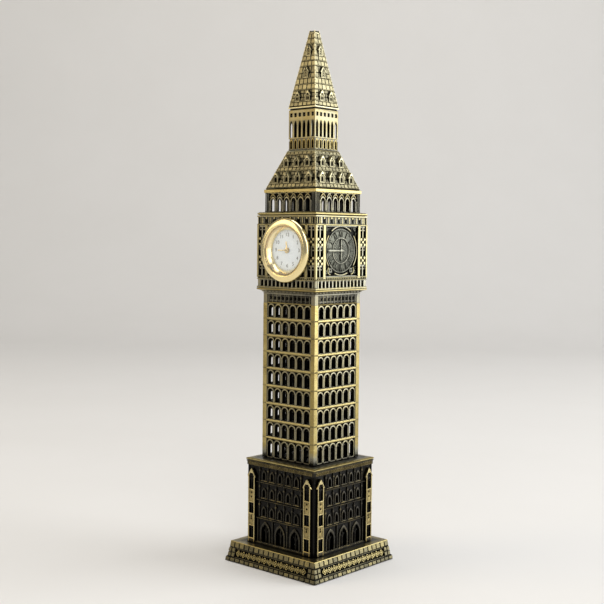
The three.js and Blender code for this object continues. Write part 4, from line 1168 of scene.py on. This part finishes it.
def bezel_profile():
    """Flange on the wall, swell, rounded crest, seat for the lens and a funnel down to the dial."""
    foot, rim = depths("bezel")
    outer = half_width("bezel")
    wall = STAGE_HALF + 0.1
    swell = [(11.25 + (outer - 11.3) * math.cos(a), wall + 0.5 + (rim - wall - 0.56) * math.sin(a))
             for a in np.linspace(0, 1.4, 12)]
    crest = [(10.94 + 0.26 * math.cos(a), rim - 0.2 + 0.2 * math.sin(a))
             for a in np.linspace(0.9, math.pi - 0.2, 8)]
    seat = LENS_RADIUS + 0.1
    ledge_at = LENS_BACK - 0.05
    low, high = foot + 0.35, LENS_BACK - 0.1
    funnel = [(SIGHT + (seat - 0.5 - SIGHT) * t ** 1.35, low + (high - low) * t)
              for t in np.linspace(1, 0, 12)]
    flange = [(10.6, foot), (10.6, wall), (outer - 0.12, wall), (outer, wall + 0.1), (outer, wall + 0.36),
              (outer - 0.05, wall + 0.46)]
    step = [(seat + 0.1, rim - 0.3), (seat, rim - 0.4), (seat, ledge_at), (seat - 0.46, ledge_at)]
    return flange + swell + crest + step + funnel + [(SIGHT, foot)]


def lens_profile():
    edge = LENS_RADIUS - 0.02
    back = LENS_BACK + 0.01
    dome = [(edge * 0.97 * math.sin(a), LENS_FRONT - 0.14 + 0.14 * math.cos(a))
            for a in np.linspace(0.001, math.pi / 2, 12)]
    return dome + [(edge, LENS_FRONT - 0.2), (edge, back + 0.05), (edge - 0.06, back), (0.0001, back)]


def dial():
    """White disc, and its ticks and numerals as raised print."""
    back, front = depths("dial")
    disc = Casting()
    disc.plate([circle(0, DIAL_Z, 9.68, 96), circle(0, DIAL_Z, 1.15, 32)], back + 0.01, front - 0.01,
               bevel=0.04)
    piece("dial_disc", disc.mesh("dial_disc"), "dial_white", ["dial"], body="clock_insert")
    marks = Casting()
    for minute in range(60):
        width, inner = (0.15, 7.7) if minute % 5 == 0 else (0.06, 7.9)
        tick = [polar(0, DIAL_Z, inner, 6 * minute), polar(0, DIAL_Z, 8.12, 6 * minute)]
        marks.plate(ribbon(tick, width), front - 0.05, front + PRINT, bevel=0.01)
    for hour in range(1, 13):
        numeral(marks, str(hour), *polar(0, DIAL_Z, 6.45, 90 - 30 * hour), front - 0.05, front + PRINT)
    piece("dial_numerals", marks.mesh("dial_numerals"), "dial_white", (), BLACK_INK, "clock_insert")


def numeral(c, text, x, z, back, front):
    curve = bpy.data.curves.new("numeral", "FONT")
    curve.body = text
    curve.size = 2.1
    curve.align_x = "CENTER"
    curve.align_y = "CENTER"
    curve.extrude = (front - back) / 2
    points, faces = solid_of(curve)
    c.add(points[:, (0, 2, 1)] + (x, (back + front) / 2, z), faces, 0.5)


def hand(name, node, angle, length, tail, half, hub, bore):
    """Baton hand, bored for its pipe, that points at an angle in degrees from three o'clock."""
    back, front = depths(node)
    a = math.radians(angle)
    along, across = np.array([math.cos(a), math.sin(a)]), np.array([-math.sin(a), math.cos(a)])
    at = lambda s, w: tuple(along * s + across * w + (0, DIAL_Z))
    turn = math.degrees(math.asin(half / hub))
    loop = [at(length, 0), at(length - 0.5, half)]
    loop += arc(0, DIAL_Z, hub, angle + turn, angle + 180 - (turn if tail else 0), 13)
    if tail:
        loop += [at(-tail, half * 0.9), at(-tail - 0.1, 0), at(-tail, -half * 0.9)]
    loop += arc(0, DIAL_Z, hub, angle + 180 + (turn if tail else 11.46), angle + 360 - turn, 13)
    loop.append(at(length - 0.5, -half))
    c = Casting()
    c.plate([loop, circle(0, DIAL_Z, bore, 24)], back + 0.01, front - 0.01, bevel=0.05, steps=2)
    piece(name, c.mesh(name), "gold_plate", [node], HAND_GOLD, node)


piece("bezel_polished", turned("bezel_polished", bezel_profile(), 192), "gold_plate", ["bezel"],
      body="clock_insert")
piece("lens_domed", turned("lens_domed", lens_profile(), 128), "lens", ["lens"], body="clock_insert")
dial()
hand("minute_hand_baton", "minute_hand", 180.0, 4.9, 1.2, 0.22, 0.86, 0.5)
hand("hour_hand_baton", "hour_hand", 97.5, 3.8, 0.0, 0.28, 1.22, 0.92)


# ------------------------------------------------------------------ floor, light and camera
VIEW_AZIMUTH = 41.8952          # degrees from the front face round towards +X
VIEW_TILT = 3.4072              # degrees down
VIEW_ROLL = 0.5235
VIEW_PLACE = Vector((308.498, -350.12, 138.941)) * MM
FIELD = 2 * math.atan(302 / 1099.594)


def panel_light(name, place, aim_z, size, power, color):
    """Soft square or oblong panel that faces a point on the tower's axis."""
    data = bpy.data.lights.new(name, "AREA")
    data.shape = "RECTANGLE"
    data.size, data.size_y = size
    data.energy = power
    data.color = color
    ob = placed(name, data)
    ob.location = place
    ob.rotation_euler = (Vector((0, 0, aim_z)) - Vector(place)).to_track_quat("-Z", "Y").to_euler()


def sweep_floor():
    """Floor that curves up into a plain backdrop well behind the tower."""
    profile = [(-1.2, 0.0), (0.9, 0.0)]
    profile += [(0.9 + 0.6 * math.sin(a), 0.6 - 0.6 * math.cos(a))
                for a in np.linspace(0.06, math.pi / 2, 24)]
    profile += [(1.5, 2.4)]
    turn = Matrix.Rotation(math.radians(VIEW_AZIMUTH), 3, "Z")
    points = [turn @ Vector((x, d, h)) for d, h in profile for x in (-2.2, 2.2)]
    mesh = bpy.data.meshes.new("floor")
    mesh.from_pydata(points, [], [(2 * i, 2 * i + 1, 2 * i + 3, 2 * i + 2)
                                  for i in range(len(profile) - 1)])
    mesh.shade_smooth()
    s = Shader("floor_paper", Roughness=0.8)
    s.drive("Base Color", s.ramp(s.noise(120, 3),
                                 [(0.3, (0.72, 0.705, 0.68)), (0.7, (0.735, 0.72, 0.697))]))
    s.bump(s.noise(0.6, 3), 0.02)
    mesh.materials.append(s.material)
    placed("floor", mesh)


def photograph_camera():
    data = bpy.data.cameras.new("photograph")
    data.angle = FIELD
    data.clip_start = 0.01
    camera = placed("photograph", data)
    place = Matrix.Translation(VIEW_PLACE)
    for angle, axis in ((VIEW_AZIMUTH, "Z"), (90 - VIEW_TILT, "X"), (VIEW_ROLL, "Z")):
        place = place @ Matrix.Rotation(math.radians(angle), 4, axis)
    camera.matrix_world = place
    bpy.context.scene.camera = camera


def studio():
    world = bpy.data.worlds.new("studio")
    world.use_nodes = True
    world.node_tree.nodes["Background"].inputs["Color"].default_value = (0.86, 0.88, 0.92, 1)
    world.node_tree.nodes["Background"].inputs["Strength"].default_value = 0.3
    bpy.context.scene.world = world
    bpy.context.scene.view_settings.view_transform = "Standard"
    panel_light("key_right", (0.95, 0.8, 0.4), 0.12, (1.1, 1.1), 19, (0.98, 0.99, 1.0))
    panel_light("fill_left", (-0.85, -0.95, 0.66), 0.12, (0.8, 1.0), 5.3, (1.0, 0.83, 0.56))
    panel_light("card_right", (1.25, -0.62, 0.3), 0.13, (0.9, 1.1), 7, (1.0, 0.98, 0.92))
    panel_light("front", (0.9, -0.9, 1.1), 0.1, (0.8, 0.8), 6, (1.0, 0.98, 0.95))
    panel_light("top", (0.0, 0.0, 1.5), 0.1, (1.0, 1.0), 9, (1.0, 1.0, 1.0))


sweep_floor()
photograph_camera()
studio()
